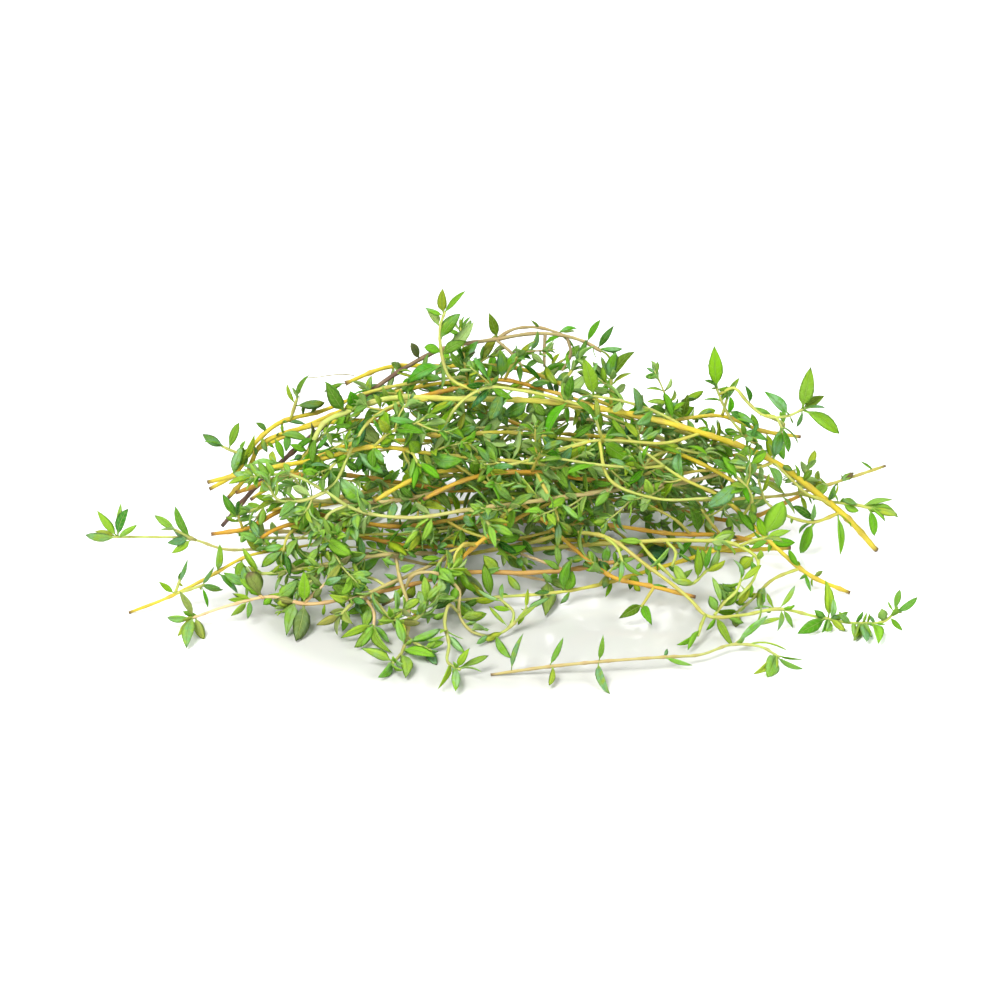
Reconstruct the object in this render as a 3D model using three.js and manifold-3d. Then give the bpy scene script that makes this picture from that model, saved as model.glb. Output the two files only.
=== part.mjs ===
// A loose bundle of cut thyme sprigs, lying in a heap on a surface.
// Millimetres, +Z up. The origin is under the middle of the heap, on the surface.
// +X runs along the heap, most sprigs lie along it, and +Y points to its back.
// Every sprig is one solid: its stem, its side shoots and its leaves grown together.

import * as THREE from 'three';
import { mergeVertices } from 'three/addons/utils/BufferGeometryUtils.js';
import Module from 'manifold-3d';

const wasm = await Module();
wasm.setup();

// Stems are square in section, as thyme's are.
const stemSides = 4;
const shootSides = 3;
const shootThick = 0.95; // a side shoot's thickness where it leaves the stem
const shootThin = 0.7; // and at its tip
const airGap = 0.5; // between two sprigs' stems
const flatSide = 0.68; // from a stem's middle to its flat side, in radii, pressed a little on the surface
const spreadReach = 7; // stems nearer than this can push each other aside
const spreadRounds = 60;

// A leaf is a thin arched blade with four or six sides, its root sunk to the stem's middle.
const bladeThick = 0.68;
const leafLong = 9.2; // the largest leaves
const leafShort = 6.4; // the smallest on the stems
const givenLeafLong = 10.2; // the longest leaves whose tips are given
const tipLeafLong = 6.2; // young leaves at a tip
const leafSlim = 0.36; // width over length
const leafArch = 0.07; // rise of the blade's middle over its length
const broadOutline = [[0, 0], [0.34, 0.9], [0.7, 0.8], [1, 0]]; // along the length, and share of half the width
const slimOutline = [[0, 0], [0.46, 1], [1, 0]];
const broadFrom = 8; // leaves as long as this have the broad outline
const pairPitch = 120; // between two pairs of leaves on a stem
const rootSunk = 0.9; // a leaf at a tip starts this far inside
const lowestPair = 3; // air between a stem's bare part and its lowest pair
const lowestTip = 1.2; // height of the lowest leaf tip that is given

// A leaf turns and shrinks a little, try after try, until it is clear of all else.
const leafTries = 26;
const leafReach = 0.62; // air kept round a blade
const stemReach = 0.2; // air kept round a stem
const floorAir = 0.15; // air kept under a blade
const smallestShare = 0.75; // of its length, at the last try
const tipSway = 0.3; // how much further a given tip may move at each try
const turnSway = 0.05; // and a leaf of a pair may turn, in half turns
const tipOpening = [0.35, 0.75]; // angle between a young leaf and its stem
const pairOpening = [0.8, 1.25]; // and between other leaves and theirs

// Faces look out of the heap: its axis is the line that they turn away from.
const heapAxis = { y: 14, z: -4 };
const endwise = 0.15; // how much faces near the heap's ends look along it
const frontLean = new THREE.Vector3(0, -0.8, 0); // leaves whose tips are given also look to the front

const cell = 3; // of the grid that finds near neighbours
const cellsAcross = 1024;

const barkColours = {
  straw: '#c9b35c',
  brown: '#a9824a',
  dark: '#6d5448',
  olive: '#93945a',
  pale: '#9fae62',
  rosy: '#b08a58',
};
const leafColours = {
  straw: '#5f7f42',
  brown: '#56763f',
  dark: '#4c6a3a',
  olive: '#6c8c49',
  pale: '#82a44c',
  rosy: '#7d9e4a',
};

// thick and thin: the stem's thickness at its cut end and at its tip.
// bare: share of the stem, from its cut end, with no leaves.
// stem: from the cut end to the tip. shoots: each starts at its stem and runs outwards.
// leaves: the large leaves that stand out of the heap, each as its tip and a place near its root.
// One with no such place grows from the nearest stem.
const sprigs = {
  great_arch: {
    bark: 'straw', thick: 1.4, thin: 1, bare: 0.3,
    stem: [[86, 16, 0], [80, 16, 8], [71, 16, 16], [61, 14, 24], [45, 11, 32], [31, 9, 37], [9, 8, 41],
      [-9, 7, 42], [-27, 6, 42], [-34, 4, 40], [-39, 2, 38], [-41, 0, 35]],
    shoots: [
      [[77, 16, 10], [71, 13, 9], [65, 12, 11], [60, 11, 15], [58, 10, 21]],
      [[75.5, 15.5, 12], [73, 14, 14], [69, 12.5, 16.5], [65.5, 12.5, 20], [61, 14, 24]],
      [[62, 14, 24], [58, 12, 23], [51, 9, 25], [46, 7, 28]],
      [[62, 14, 24], [57, 13, 29], [53, 12, 33], [50, 12, 38], [48, 12, 43]],
      [[49, 12, 41], [52, 11, 43], [55, 10, 40], [59, 9, 37], [64, 9, 37], [68, 9, 39]],
      [[59, 9, 37], [61, 9, 37], [63, 8, 34]],
      [[45, 11, 32], [38, 6, 32], [20, 2, 34], [10, 0, 32]],
      [[23, 2, 34], [22, 0, 37], [21, -1, 41]],
      [[20, 2, 34], [10, -1, 31], [0, -2, 30], [-8, 0, 35]],
      [[22, 2, 33], [24, -2, 27], [34, -2, 22], [47, 0, 21]],
      [[42, 11, 33], [36, 10, 37], [28, 10, 40], [20, 9, 42]],
      [[22, 8, 39], [4, 5, 45], [-3, 4, 46], [-9, 2, 43], [-12, 1, 38], [-9, 1, 30]],
      [[-5, 5, 45], [-11, 6, 47.5], [-13, 7, 54], [-13, 7, 60], [-12, 7, 63]],
      [[-16, 7, 42], [-23, 4, 42], [-29, 1, 39], [-33, -1, 34], [-37, -3, 26], [-43, -5, 23], [-50, -6, 23]],
    ],
    leaves: [[[78, 11.5, 1], [76.5, 15.5, 10]], [[47.5, 13, 53.5], [48, 12, 43]], [[58.5, 9, 43], [64.5, 9, 37]],
      [[69, 9, 48], [68, 9, 39]], [[76, 8, 33], [68, 9, 39]], [[65, 8, 36.5], [68, 9, 39]],
      [[54.5, 10, 44], [55.5, 10, 39.5]], [[51, 11, 41], [51, 12, 36]], [[61.5, 7, 27.5], [63, 8, 34]],
      [[65, 8, 28.5], [63, 8, 34]], [[21, -1, 45.5], [21, -1, 41]], [[19, 9, 50.5], [20, 9, 42]],
      [[-12.5, 7, 68.5], [-12, 7, 63]], [[-7.5, 7, 67.5], [-12, 7, 63]], [[-16.5, 7, 64], [-12.5, 7, 62]],
      [[-9.5, 7, 62.5], [-13, 7, 56]], [[-6, 6, 61.5], [-12.5, 7, 53]], [[-21, 5.5, 47], [-12, 6.5, 50.5]],
      [[29.5, 8, 44.5], [31, 9, 37]], [[63.5, 11, 18.5], [60, 13, 23.5]], [[51.5, 5, 25], [46, 7, 28]],
      [[56.5, 10, 34], [50.5, 12, 37]], [[60, 10, 30.5], [54, 12, 32]], [[-34, 3, 40.5], [-30, 5, 41]]],
  },
  left_straw: {
    bark: 'straw', thick: 1.45, thin: 0.75, bare: 0.3,
    stem: [[-65, 2, 24], [-53, 0, 28], [-40, -1, 31], [-28, -1, 34], [-15, 0, 32], [0, 1, 30], [13, 2, 28], [28, 4, 27]],
    shoots: [
      [[-28, -1, 34], [-24, -2, 38], [-19, -2, 40], [-15, -1, 42]],
      [[-21, 0, 33], [-19, -3, 33], [-18, -5, 31]],
      [[-45, -1, 30], [-41, 1, 34], [-37, 2, 38]],
      [[-34, -1, 33], [-37, -3, 30], [-40, -5, 27]],
    ],
    leaves: [],
  },
  left_upper_arch: {
    bark: 'straw', thick: 1.4, thin: 0.75, bare: 0.25,
    stem: [[-65, 7, 20], [-59, 7, 24], [-55, 9, 30], [-50, 11, 34], [-40, 14, 36], [-29, 18, 39], [-16, 22, 40], [-5, 25, 40]],
    shoots: [
      [[-47, 12, 35], [-45, 11, 41]],
      [[-55, 9, 29], [-58, 7, 29], [-62, 6, 31]],
    ],
    leaves: [[[-46.5, 11.5, 43], [-45.5, 11.5, 39]], [[-39, 12.5, 39], [-46, 11.5, 38.5]],
      [[-58, 6.5, 36.5], [-60.5, 6.5, 30]], [[-56.5, 9, 31.5], [-57.5, 8, 26.5]],
      [[-58, 6, 30.5], [-59.5, 7, 23.5]]],
  },
  left_low_arch: {
    bark: 'straw', thick: 1.45, thin: 0.8, bare: 0.3,
    stem: [[-61, 9, 17], [-57, 9, 22], [-54, 10, 29], [-43, 12, 33], [-30, 13, 34], [-16, 10, 32], [2, 9, 33], [18, 9, 31],
      [34, 10, 29], [46, 11, 26]],
    shoots: [
      [[-34, 13, 34], [-31, 10, 31], [-30, 7, 29]],
    ],
    leaves: [],
  },
  dark_stem: {
    bark: 'dark', thick: 1.4, thin: 0.8, bare: 0.5,
    stem: [[-63, 13, 8], [-54, 13, 19], [-44, 15, 28], [-34, 18, 35], [-23, 22, 42], [-14, 25, 46], [-1, 27, 48],
      [10, 28, 49], [19, 28, 47], [23, 27, 45]],
    shoots: [
      [[-1, 27, 48], [3, 28, 50], [9, 29, 50], [14, 30, 48]],
      [[-1, 27, 48], [3, 25, 45], [5, 23, 43]],
      [[10, 28, 48], [10, 26, 46], [10, 23, 43]],
      [[15, 28, 47], [16, 26, 45], [14, 23, 42]],
    ],
    leaves: [[[22.5, 29, 52], [19.5, 28, 46.5]], [[25, 27, 51], [22, 27, 45.5]], [[27.5, 27, 46.5], [23, 27, 45]],
      [[17.5, 31, 49], [14, 30, 48]], [[7.5, 29, 51.5], [9, 29, 50]], [[23.5, 26.5, 44], [21, 27.5, 46]],
      [[-2.5, 27, 54.5], [-0.5, 27, 48]]],
  },
  short_brown_end: {
    bark: 'brown', thick: 1.4, thin: 0.75, bare: 0.2,
    stem: [[-59, 5, 20], [-48, 5, 24], [-36, 6, 24], [-22, 6, 22], [-9, 6, 20], [4, 7, 21], [16, 8, 22]],
    shoots: [
      [[-22, 6, 22], [-18, 1, 20], [-17, -2, 20]],
    ],
    leaves: [],
  },
  left_orange: {
    bark: 'brown', thick: 1.4, thin: 0.75, bare: 0.2,
    stem: [[-64, -6, 15], [-56, -5, 16], [-48, -2, 19], [-36, 0, 16], [-22, 0, 14], [-12, 1, 15], [0, 3, 17], [13, 5, 19],
      [26, 7, 20]],
    shoots: [
      [[-57, -5, 16], [-58, -6, 20]],
      [[-12, 1, 15], [-7, -3, 14], [0, -5, 13]],
    ],
    leaves: [],
  },
  left_low_orange: {
    bark: 'brown', thick: 1.3, thin: 0.75, bare: 0.1,
    stem: [[-54, -8, 14], [-50, -6, 16], [-40, -2, 16], [-31, -2, 13], [-18, -3, 10], [-4, -2, 11], [9, 0, 12], [20, 2, 15]],
    shoots: [
      [[-4, -2, 11], [-8, -6, 12], [-12, -8, 11], [-14, -10, 9]],
      [[-44, -4, 17], [-47, -7, 15], [-48, -10, 12]],
    ],
    leaves: [],
  },
  far_left_straw: {
    bark: 'straw', thick: 1, thin: 0.7, bare: 0.1,
    stem: [[-82, -15.5, 0], [-74, -14, 3], [-65, -12, 7], [-56, -9, 11], [-44, -6, 12], [-32, -3, 13], [-18, 0, 12], [-4, 2, 13]],
    shoots: [
      [[-72, -13, 4], [-70.5, -13, 7.5]],
      [[-72, -13, 4], [-65, -14, 6.5]],
    ],
    leaves: [[[-69, -13, 12], [-70.5, -13, 7.5]], [[-61, -14, 5], [-65, -14, 6.5]],
      [[-64.5, -15, 1.5], [-65.5, -14, 6.5]]],
  },
  far_left_tip: {
    bark: 'pale', thick: 1, thin: 0.7, bare: 0.1,
    stem: [[-16, 1, 4], [-27, 0, 7], [-40, 0, 7], [-52, 1, 8], [-62, 1, 8], [-69, 2, 10], [-78, 2, 10.5], [-86.5, 2, 10.5]],
    shoots: [
      [[-68, 2, 10], [-73, 1, 13]],
      [[-40, 0, 7], [-43, -4, 7], [-47, -8, 7]],
    ],
    leaves: [[[-93, 2, 11], [-86.5, 2, 10.5]], [[-90, 2.5, 17], [-86, 2, 10.5]], [[-84.5, 3, 18], [-86.5, 2, 10.5]],
      [[-82.5, 1, 15], [-86, 2, 10.5]], [[-72.5, 2, 18], [-69, 2, 10.5]], [[-74, 1, 7], [-69, 2, 10]]],
  },
  low_left_runner: {
    bark: 'rosy', thick: 1.4, thin: 0.7, bare: 0.2,
    stem: [[32, 0, 7], [20, -4, 6], [7, -7, 6], [-7, -9, 7], [-22, -13, 5.5], [-34, -18, 5], [-43, -20.5, 5], [-50, -18, 5.5],
      [-59, -20, 4.5], [-68, -24, 3]],
    shoots: [
      [[24, -3, 6], [19, 0, 7], [14, 2, 8]],
      [[14, -5, 6], [9, -3, 7], [4, -1, 8]],
      [[2, -8, 6], [6, -5, 4], [11, -3, 2]],
      [[-30.5, -16, 5], [-28.5, -20, 5], [-27.5, -24, 4.5], [-27.5, -28, 3]],
      [[-43, -20, 5], [-40, -20, 8], [-38, -20, 10]],
      [[-52, -18, 5.5], [-56, -16, 8]],
    ],
    leaves: [[[-70, -22.5, 9], [-67, -23.5, 3]], [[-68, -33.5, 1], [-67, -23.5, 3]],
      [[-65.5, -28, 1], [-66.5, -23.5, 3]], [[-60, -19, 3], [-55.5, -19, 5]], [[-57, -20, 1.5], [-55, -19, 5]],
      [[-46.5, -27.5, 1], [-45, -20, 5]], [[-44.5, -31.5, 1], [-43, -20.5, 5]], [[-43, -20, 12.5], [-43, -20, 5]],
      [[-34.5, -30, 1], [-27.5, -27.5, 3]], [[-31.5, -34, 1], [-27.5, -28, 3]], [[-24, -36, 1], [-27.5, -28, 3]],
      [[10, -7.5, 9], [13.5, -5.5, 6]], [[4.5, -9, 2.5], [1.5, -8, 6.5]], [[-2, -10.5, 3], [-3.5, -8.5, 7]]],
  },
  pink_curl: {
    bark: 'pale', thick: 1, thin: 0.7, bare: 0.2,
    stem: [[-26, -13, 1], [-22, -14, 5], [-19, -16, 10], [-15, -17, 11], [-9, -18, 7], [-9, -21, 3], [-6, -26, 1],
      [-2, -28, 1], [2, -26, 2], [3, -23, 4], [0, -20, 6]],
    shoots: [
      [[2, -26, 2], [4, -24, 3], [6, -22, 5]],
      [[-9, -21, 3], [-11, -23, 6], [-12, -28, 5], [-11, -36, 3], [-11, -43, 2], [-8.5, -46, 2]],
    ],
    leaves: [[[-13.5, -57, 1], [-10.5, -43.5, 2]], [[-9.5, -55, 1], [-9, -45.5, 2]],
      [[-6.5, -50.5, 1], [-8.5, -46, 2]], [[-2.5, -44, 3.5], [-8.5, -46, 2]], [[-16.5, -34, 1], [-11.5, -33, 4]],
      [[2, -41.5, 1], [-1, -27.5, 1.5]], [[8.5, -24, 6.5], [3, -25, 2.5]], [[-2.5, -25, 6.5], [2, -26, 2]]],
  },
  left_leafy_low: {
    bark: 'pale', thick: 1.2, thin: 0.75, bare: 0.1,
    stem: [[-14, -2, 9], [-27, -6, 10], [-39, -9, 9], [-49, -11, 8], [-57, -12, 8]],
    shoots: [
      [[-33, -7, 9], [-35, -10, 14], [-36, -11, 18]],
      [[-45, -10, 8], [-50, -8, 12], [-54, -8, 15]],
      [[-39, -9, 9], [-42, -14, 7], [-46, -17, 6]],
    ],
    leaves: [],
  },
  left_leafy_mid: {
    bark: 'pale', thick: 1.2, thin: 0.75, bare: 0.1,
    stem: [[-10, 3, 22], [-24, 0, 20], [-37, -2, 21], [-48, -3, 22], [-56, -3, 19]],
    shoots: [
      [[-30, -1, 20], [-35, -5, 17], [-40, -7, 17]],
      [[-43, -3, 22], [-46, 1, 26], [-50, 3, 28]],
    ],
    leaves: [],
  },
  front_leafy: {
    bark: 'pale', thick: 1.2, thin: 0.75, bare: 0.1,
    stem: [[-12, -6, 9], [-20, -12, 8], [-27, -17, 6.5], [-33, -22, 5], [-35, -25, 4]],
    shoots: [
      [[-20, -12, 8], [-25, -14, 5], [-29, -17, 3]],
      [[-24, -17, 6], [-28, -14, 8], [-33, -13, 8]],
      [[-27, -20, 5], [-24, -25, 4], [-22, -29, 5]],
    ],
    leaves: [[[-37.5, -22.5, 3.5], [-33.5, -22.5, 5]], [[-35, -24.5, 1], [-33.5, -22.5, 5]]],
  },
  front_clump: {
    bark: 'pale', thick: 1.1, thin: 0.75, bare: 0.3,
    stem: [[-23, -10, 11], [-22, -14, 8], [-20, -20, 4], [-20, -26, 2], [-21, -35, 1], [-23, -43, 2]],
    shoots: [
      [[-20, -26, 2], [-17, -25, 5], [-16, -24, 8]],
      [[-20, -30, 1], [-18, -32, 1], [-15, -35, 1]],
    ],
    leaves: [[[-30, -41, 4.5], [-22.5, -42, 2]], [[-15, -40.5, 1], [-21, -35, 1]], [[-22.5, -31, 7], [-21, -33, 1]],
      [[-15.5, -31, 1], [-20.5, -32, 1.5]], [[-26, -48, 1], [-23, -43, 2]], [[-20.5, -47, 1], [-21.5, -37.5, 1.5]]],
  },
  front_runner: {
    bark: 'pale', thick: 0.9, thin: 0.7, bare: 0.05,
    stem: [[-2, -45, 0], [10.5, -44.5, 2], [22, -44, 3], [35, -42, 3], [43, -39, 2], [51, -34, 2], [56, -35, 2], [60, -40, 2]],
    shoots: [
      [[51, -34, 2], [56, -30, 5]],
    ],
    leaves: [[[5, -45, 10], [2.5, -45, 0.5]], [[13.5, -44.5, 8.5], [10.5, -44.5, 2]],
      [[10.5, -51.5, 1], [11, -44.5, 2]], [[22, -44, 9.5], [21.5, -44, 3]], [[22.5, -55, 1], [21.5, -44, 3]],
      [[41, -44, 1.5], [35, -42, 3]], [[58, -32, 8], [51, -34, 2]], [[64, -44.5, 1], [60, -40, 2]],
      [[52.5, -50, 1], [59, -38.5, 2]], [[60, -35.5, 1], [53.5, -34.5, 2]]],
  },
  right_runner: {
    bark: 'olive', thick: 1.2, thin: 0.7, bare: 0.1,
    stem: [[-7, 4, 5], [7, 0, 10], [17, -3, 14], [23, -5, 14], [32, -11, 10], [42, -19, 5], [45, -22, 3], [53, -22, 3],
      [61, -21, 4], [70, -21, 2], [79, -22, 1], [85, -22, 2], [87, -21, 4]],
    shoots: [
      [[23, -5, 14], [26, -9, 13], [27, -12, 11]],
      [[45, -22, 3], [44, -26, 3], [43, -30, 2]],
      [[47, -22, 3], [49, -20, 5], [52, -18, 7], [53, -16, 9]],
    ],
    leaves: [[[88, -26, 1], [85.5, -22, 2.5]], [[85.5, -20, 5], [86.5, -21, 3.5]], [[41, -35, 1], [43.5, -28, 2.5]],
      [[71.5, -19, 10], [72, -21, 2]], [[79.5, -32, 1], [79.5, -22, 1]], [[64, -29, 1], [71.5, -21, 2]],
      [[53.5, -20, 1.5], [60, -21, 4]], [[65, -19, 8.5], [61, -21, 4]], [[58.5, -19, 7], [60.5, -21, 4]],
      [[50, -33, 1], [47.5, -22, 3]], [[46.5, -19.5, 11], [48.5, -20.5, 4.5]], [[82, -32, 1], [80.5, -22, 1]]],
  },
  orange_diagonal: {
    bark: 'brown', thick: 1.3, thin: 0.75, bare: 0.25,
    stem: [[43, -17, 5], [34, -14, 6], [25, -11, 7], [17, -6, 11], [8, -4, 19], [0, -2, 24], [-7, 0, 28], [-13, 2, 31]],
    shoots: [
      [[34, -14, 6], [31, -20, 4]],
    ],
    leaves: [],
  },
  right_thin_end: {
    bark: 'olive', thick: 1, thin: 0.7, bare: 0.1,
    stem: [[88, 24, 18], [80, 22, 16], [68, 20, 13], [55, 17, 13], [41, 14, 14], [27, 12, 16], [14, 10, 16], [0, 9, 15]],
    shoots: [
      [[68, 20, 13], [73, 17, 12], [82, 14.5, 12], [84.5, 13.5, 12]],
      [[68, 20, 13], [70, 20, 19]],
    ],
    leaves: [[[90.5, 13, 10.5], [83, 14, 12]], [[88, 14.5, 13], [82, 14.5, 12]], [[85.5, 12, 6], [83.5, 14, 12]],
      [[77.5, 15.5, 13], [81.5, 14.5, 12]], [[82, 23.5, 19.5], [85, 23.5, 17.5]], [[59.5, 17, 18], [65, 19, 13]],
      [[67, 17, 9], [64, 19, 13]], [[70, 18, 7.5], [68, 20, 13]]],
  },
  low_crossing: {
    bark: 'straw', thick: 1.4, thin: 0.75, bare: 0.3,
    stem: [[64, 16, 8], [55, 10, 6], [45, 4, 5], [31.5, -3, 4], [22, -8, 3.5], [12, -11, 3], [0, -13, 3], [-11, -15, 3]],
    shoots: [
      [[22, -8, 3.5], [26, -10, 10]],
    ],
    leaves: [[[-5, -15, 3], [0, -13, 3]], [[23, -9.5, 1], [25, -6.5, 3.5]]],
  },
  right_curve: {
    bark: 'straw', thick: 1.3, thin: 0.75, bare: 0.2,
    stem: [[78, -7, 1], [69, -4, 4], [62, -1, 9], [57, 2, 13], [50, 4, 19], [40, 5, 24], [33, 6, 29], [28, 7, 33]],
    shoots: [
      [[67, -3, 5], [61, -6, 4], [56, -12, 2], [52, -17, 1]],
      [[55, 3, 16], [56, 0, 21], [54, -1, 25], [52, -1, 27]],
      [[37, 5, 27], [31, 1, 28], [22, -2, 30], [13, -3, 32]],
    ],
    leaves: [[[65.5, -1, 10.5], [60, 0, 10.5]], [[56, -2, 9.5], [60, 0, 10.5]], [[65, -3, 9], [67, -3, 5.5]],
      [[71, -5, 1], [69.5, -4, 4]], [[57, -15.5, 1], [59, -8.5, 3]], [[55.5, -3, 21], [53.5, -1, 25.5]],
      [[45, -3, 19.5], [53, -1, 26]], [[57, 1.5, 13], [52.5, 3.5, 17]]],
  },
  mid_golden: {
    bark: 'straw', thick: 1.45, thin: 0.8, bare: 0.2,
    stem: [[-28, -4, 22], [-22, -2, 25], [-16, 0, 27], [-8, 2, 27], [2, 3, 26], [13, 4, 25], [27, 7, 25], [43, 11, 27]],
    shoots: [
      [[-8, 2, 27], [-4, -1, 28], [-2, -4, 30]],
    ],
    leaves: [],
  },
  mid_orange: {
    bark: 'brown', thick: 1.4, thin: 0.75, bare: 0.2,
    stem: [[-17, -5, 23], [-12, -3, 25], [-5, -1, 27], [7, 1, 27], [20, 3, 24], [31, 5, 22], [45, 9, 23], [56, 13, 22]],
    shoots: [
      [[7, 1, 27], [9, -4, 35]],
      [[8, 1, 26], [10, -4, 25], [12, -6, 22], [13, -7, 18]],
    ],
    leaves: [],
  },
  pink_long: {
    bark: 'pale', thick: 1.3, thin: 0.75, bare: 0.15,
    stem: [[53, 14, 22], [43, 9, 22], [27, 2, 23], [10, -3, 22], [-7, -6, 21], [-20, -8, 20], [-33, -7, 22], [-39, -6, 26],
      [-46, -5, 29], [-55, -4, 28]],
    shoots: [
      [[-39, -6, 25], [-44, -8, 24], [-49, -9, 25], [-51, -9, 29]],
      [[-34, -7, 22], [-38, -9, 21], [-39, -10, 18], [-36, -11, 12], [-33, -13, 7]],
      [[-7, -6, 21], [-4, -9, 21], [-2, -11, 19]],
    ],
    leaves: [],
  },
  bright_diagonal: {
    bark: 'brown', thick: 1.45, thin: 0.8, bare: 0.25,
    stem: [[-21, -26, 2], [-17, -19, 4], [-11, -12, 9], [-4, -7, 14], [3, -3, 17], [13, 1, 20], [25, 4, 22], [37, 8, 25]],
    shoots: [
      [[-6, -7, 13], [-8, -11, 15], [-10, -13, 13], [-9, -15, 9]],
      [[0, -5, 16], [1, -8, 21], [3, -9, 23]],
    ],
    leaves: [],
  },
  top_back_straw: {
    bark: 'straw', thick: 1.4, thin: 0.75, bare: 0.3,
    stem: [[-35, 25, 38], [-26, 27, 41], [-14, 28, 41], [5, 26, 41], [14, 22, 39], [25, 19, 35], [38, 17, 30], [52, 17, 25]],
    shoots: [
      [[14, 22, 39], [18, 23, 45]],
      [[25, 19, 35], [25, 20, 42]],
    ],
    leaves: [[[26, 20, 48], [25, 20, 41.5]], [[22, 20, 45], [25, 20, 41.5]], [[30.5, 21, 47.5], [25, 20, 42]],
      [[-40, 24, 37], [-35, 25, 38]]],
  },
  top_mid_pink: {
    bark: 'brown', thick: 1.3, thin: 0.75, bare: 0.2,
    stem: [[-32, 12, 33], [-22, 14, 38], [-11, 17, 40], [1, 20, 41], [10, 19, 39], [20, 16, 37], [31, 15, 33], [45, 14, 30]],
    shoots: [
      [[1, 20, 41], [3, 18, 46], [4, 17, 48]],
      [[-7, 18, 41], [-8, 16, 47]],
    ],
    leaves: [],
  },
  olive_middle: {
    bark: 'olive', thick: 1.3, thin: 0.75, bare: 0.2,
    stem: [[1, 2, 7], [13, 0, 9], [27, -2, 11], [42, -5, 13], [53, -8, 13], [57, -11, 11], [56, -14, 8], [52, -18, 5]],
    shoots: [
      [[53, -8, 13], [56, -9, 15], [59, -10, 16]],
      [[37, -4, 12], [39, -7, 11], [38, -10, 9]],
      [[31, -3, 12], [34, -8, 10], [42, -13, 6], [46, -13, 10]],
    ],
    leaves: [],
  },
  right_cut_high: {
    bark: 'straw', thick: 1.15, thin: 0.7, bare: 0.1,
    stem: [[68, 20, 27], [59, 19, 29], [50, 18, 33], [40, 16, 33], [31, 15, 31], [20, 15, 29], [9, 14, 27]],
    shoots: [
      [[63, 20, 28], [64, 18, 31], [61, 17, 33]],
      [[50, 18, 33], [51, 17, 38]],
    ],
    leaves: [[[42, 16, 39], [40.5, 16, 33]], [[65, 17.5, 22.5], [63, 19.5, 28]], [[61, 17, 23], [60, 19, 29]]],
  },
  right_dark_end: {
    bark: 'brown', thick: 1.15, thin: 0.75, bare: 0.1,
    stem: [[58, 22, 22], [48, 20, 22], [36, 18, 22], [25, 17, 21], [14, 16, 21], [0, 15, 19]],
    shoots: [
      [[48, 20, 22], [48, 14, 30]],
    ],
    leaves: [],
  },
  right_golden_end: {
    bark: 'straw', thick: 1.3, thin: 0.75, bare: 0.15,
    stem: [[53, 8, 21], [46, 9, 25], [38, 11, 28], [27, 12, 30], [13, 13, 31], [0, 14, 32], [-13, 14, 31]],
    shoots: [
      [[38, 11, 28], [33, 7, 27], [31, 5, 24]],
    ],
    leaves: [],
  },
  right_brown_low: {
    bark: 'brown', thick: 1.3, thin: 0.75, bare: 0.15,
    stem: [[61, 8, 6], [50, 8, 8], [38, 7, 9], [25, 7, 11], [11, 7, 12], [-2, 6, 12], [-16, 5, 11]],
    shoots: [
      [[50, 8, 8], [47, 5, 13], [45, 3, 17]],
      [[43, 7, 9], [39, 4, 14], [33, 3, 18]],
    ],
    leaves: [],
  },
  back_low_straw: {
    bark: 'straw', thick: 1.45, thin: 0.75, bare: 0.2,
    stem: [[-54, 32, 3], [-43, 40, 0], [-30, 44, 0], [-10, 42, 0], [10, 45, 0], [24, 41, 4], [36, 43, 9]],
    shoots: [
      [[-30, 44, 0], [-23, 48, 3], [-17, 49, 5]],
      [[10, 45, 0], [15, 48, 3]],
      [[-10, 42, 0], [-15, 39, 5], [-19, 41, 9]],
    ],
    leaves: [[[-16, 55, 4]], [[17, 55, 3]], [[-30, 52, 2]], [[-11, 50, 7]], [[38, 49, 11]]],
  },
  back_low_brown: {
    bark: 'brown', thick: 1.4, thin: 0.75, bare: 0.2,
    stem: [[70, 34, 6], [56, 29, 2], [42, 37, 0], [26, 44, 0], [8, 39, 5], [-8, 36, 9], [-20, 39, 12]],
    shoots: [
      [[42, 37, 0], [38, 42, 3], [34, 46, 5]],
      [[56, 29, 2], [53, 35, 5], [50, 39, 8]],
    ],
    leaves: [[[30, 53, 5]], [[38, 51, 3]], [[52, 46, 8]]],
  },
  back_mid_straw: {
    bark: 'straw', thick: 1.4, thin: 0.75, bare: 0.2,
    stem: [[-57, 23, 10], [-49, 32, 12], [-38, 38, 16], [-20, 36, 19], [-2, 42, 14], [14, 44, 9], [44, 40, 2]],
    shoots: [
      [[-38, 38, 16], [-33, 43, 14], [-30, 45, 10]],
      [[-2, 42, 14], [3, 45, 16], [9, 46, 20]],
      [[-20, 36, 19], [-16, 40, 22], [-10, 41, 25]],
    ],
    leaves: [[[-28, 50, 8]], [[-36, 49, 13]]],
  },
  back_mid_pale: {
    bark: 'pale', thick: 1.3, thin: 0.75, bare: 0.15,
    stem: [[64, 24, 14], [50, 33, 15], [36, 36, 20], [20, 33, 26], [4, 36, 23], [-12, 41, 17], [-44, 33, 15]],
    shoots: [
      [[36, 36, 20], [31, 40, 22], [27, 41, 26]],
      [[4, 36, 23], [-1, 39, 27], [-7, 40, 30]],
      [[50, 33, 15], [46, 39, 14], [41, 43, 12]],
    ],
    leaves: [],
  },
  back_high_straw: {
    bark: 'straw', thick: 1.4, thin: 0.75, bare: 0.25,
    stem: [[-57, 22, 22], [-43, 25, 28], [-28, 28, 33], [-12, 30, 36], [4, 34, 33], [18, 36, 27], [46, 31, 18]],
    shoots: [
      [[-28, 28, 33], [-24, 33, 33], [-19, 35, 35]],
      [[4, 34, 33], [9, 37, 35], [15, 37, 39]],
      [[33, 33, 22], [37, 35, 26], [42, 33, 30]],
    ],
    leaves: [],
  },
  back_crossing: {
    bark: 'brown', thick: 1.4, thin: 0.75, bare: 0.2,
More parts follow.
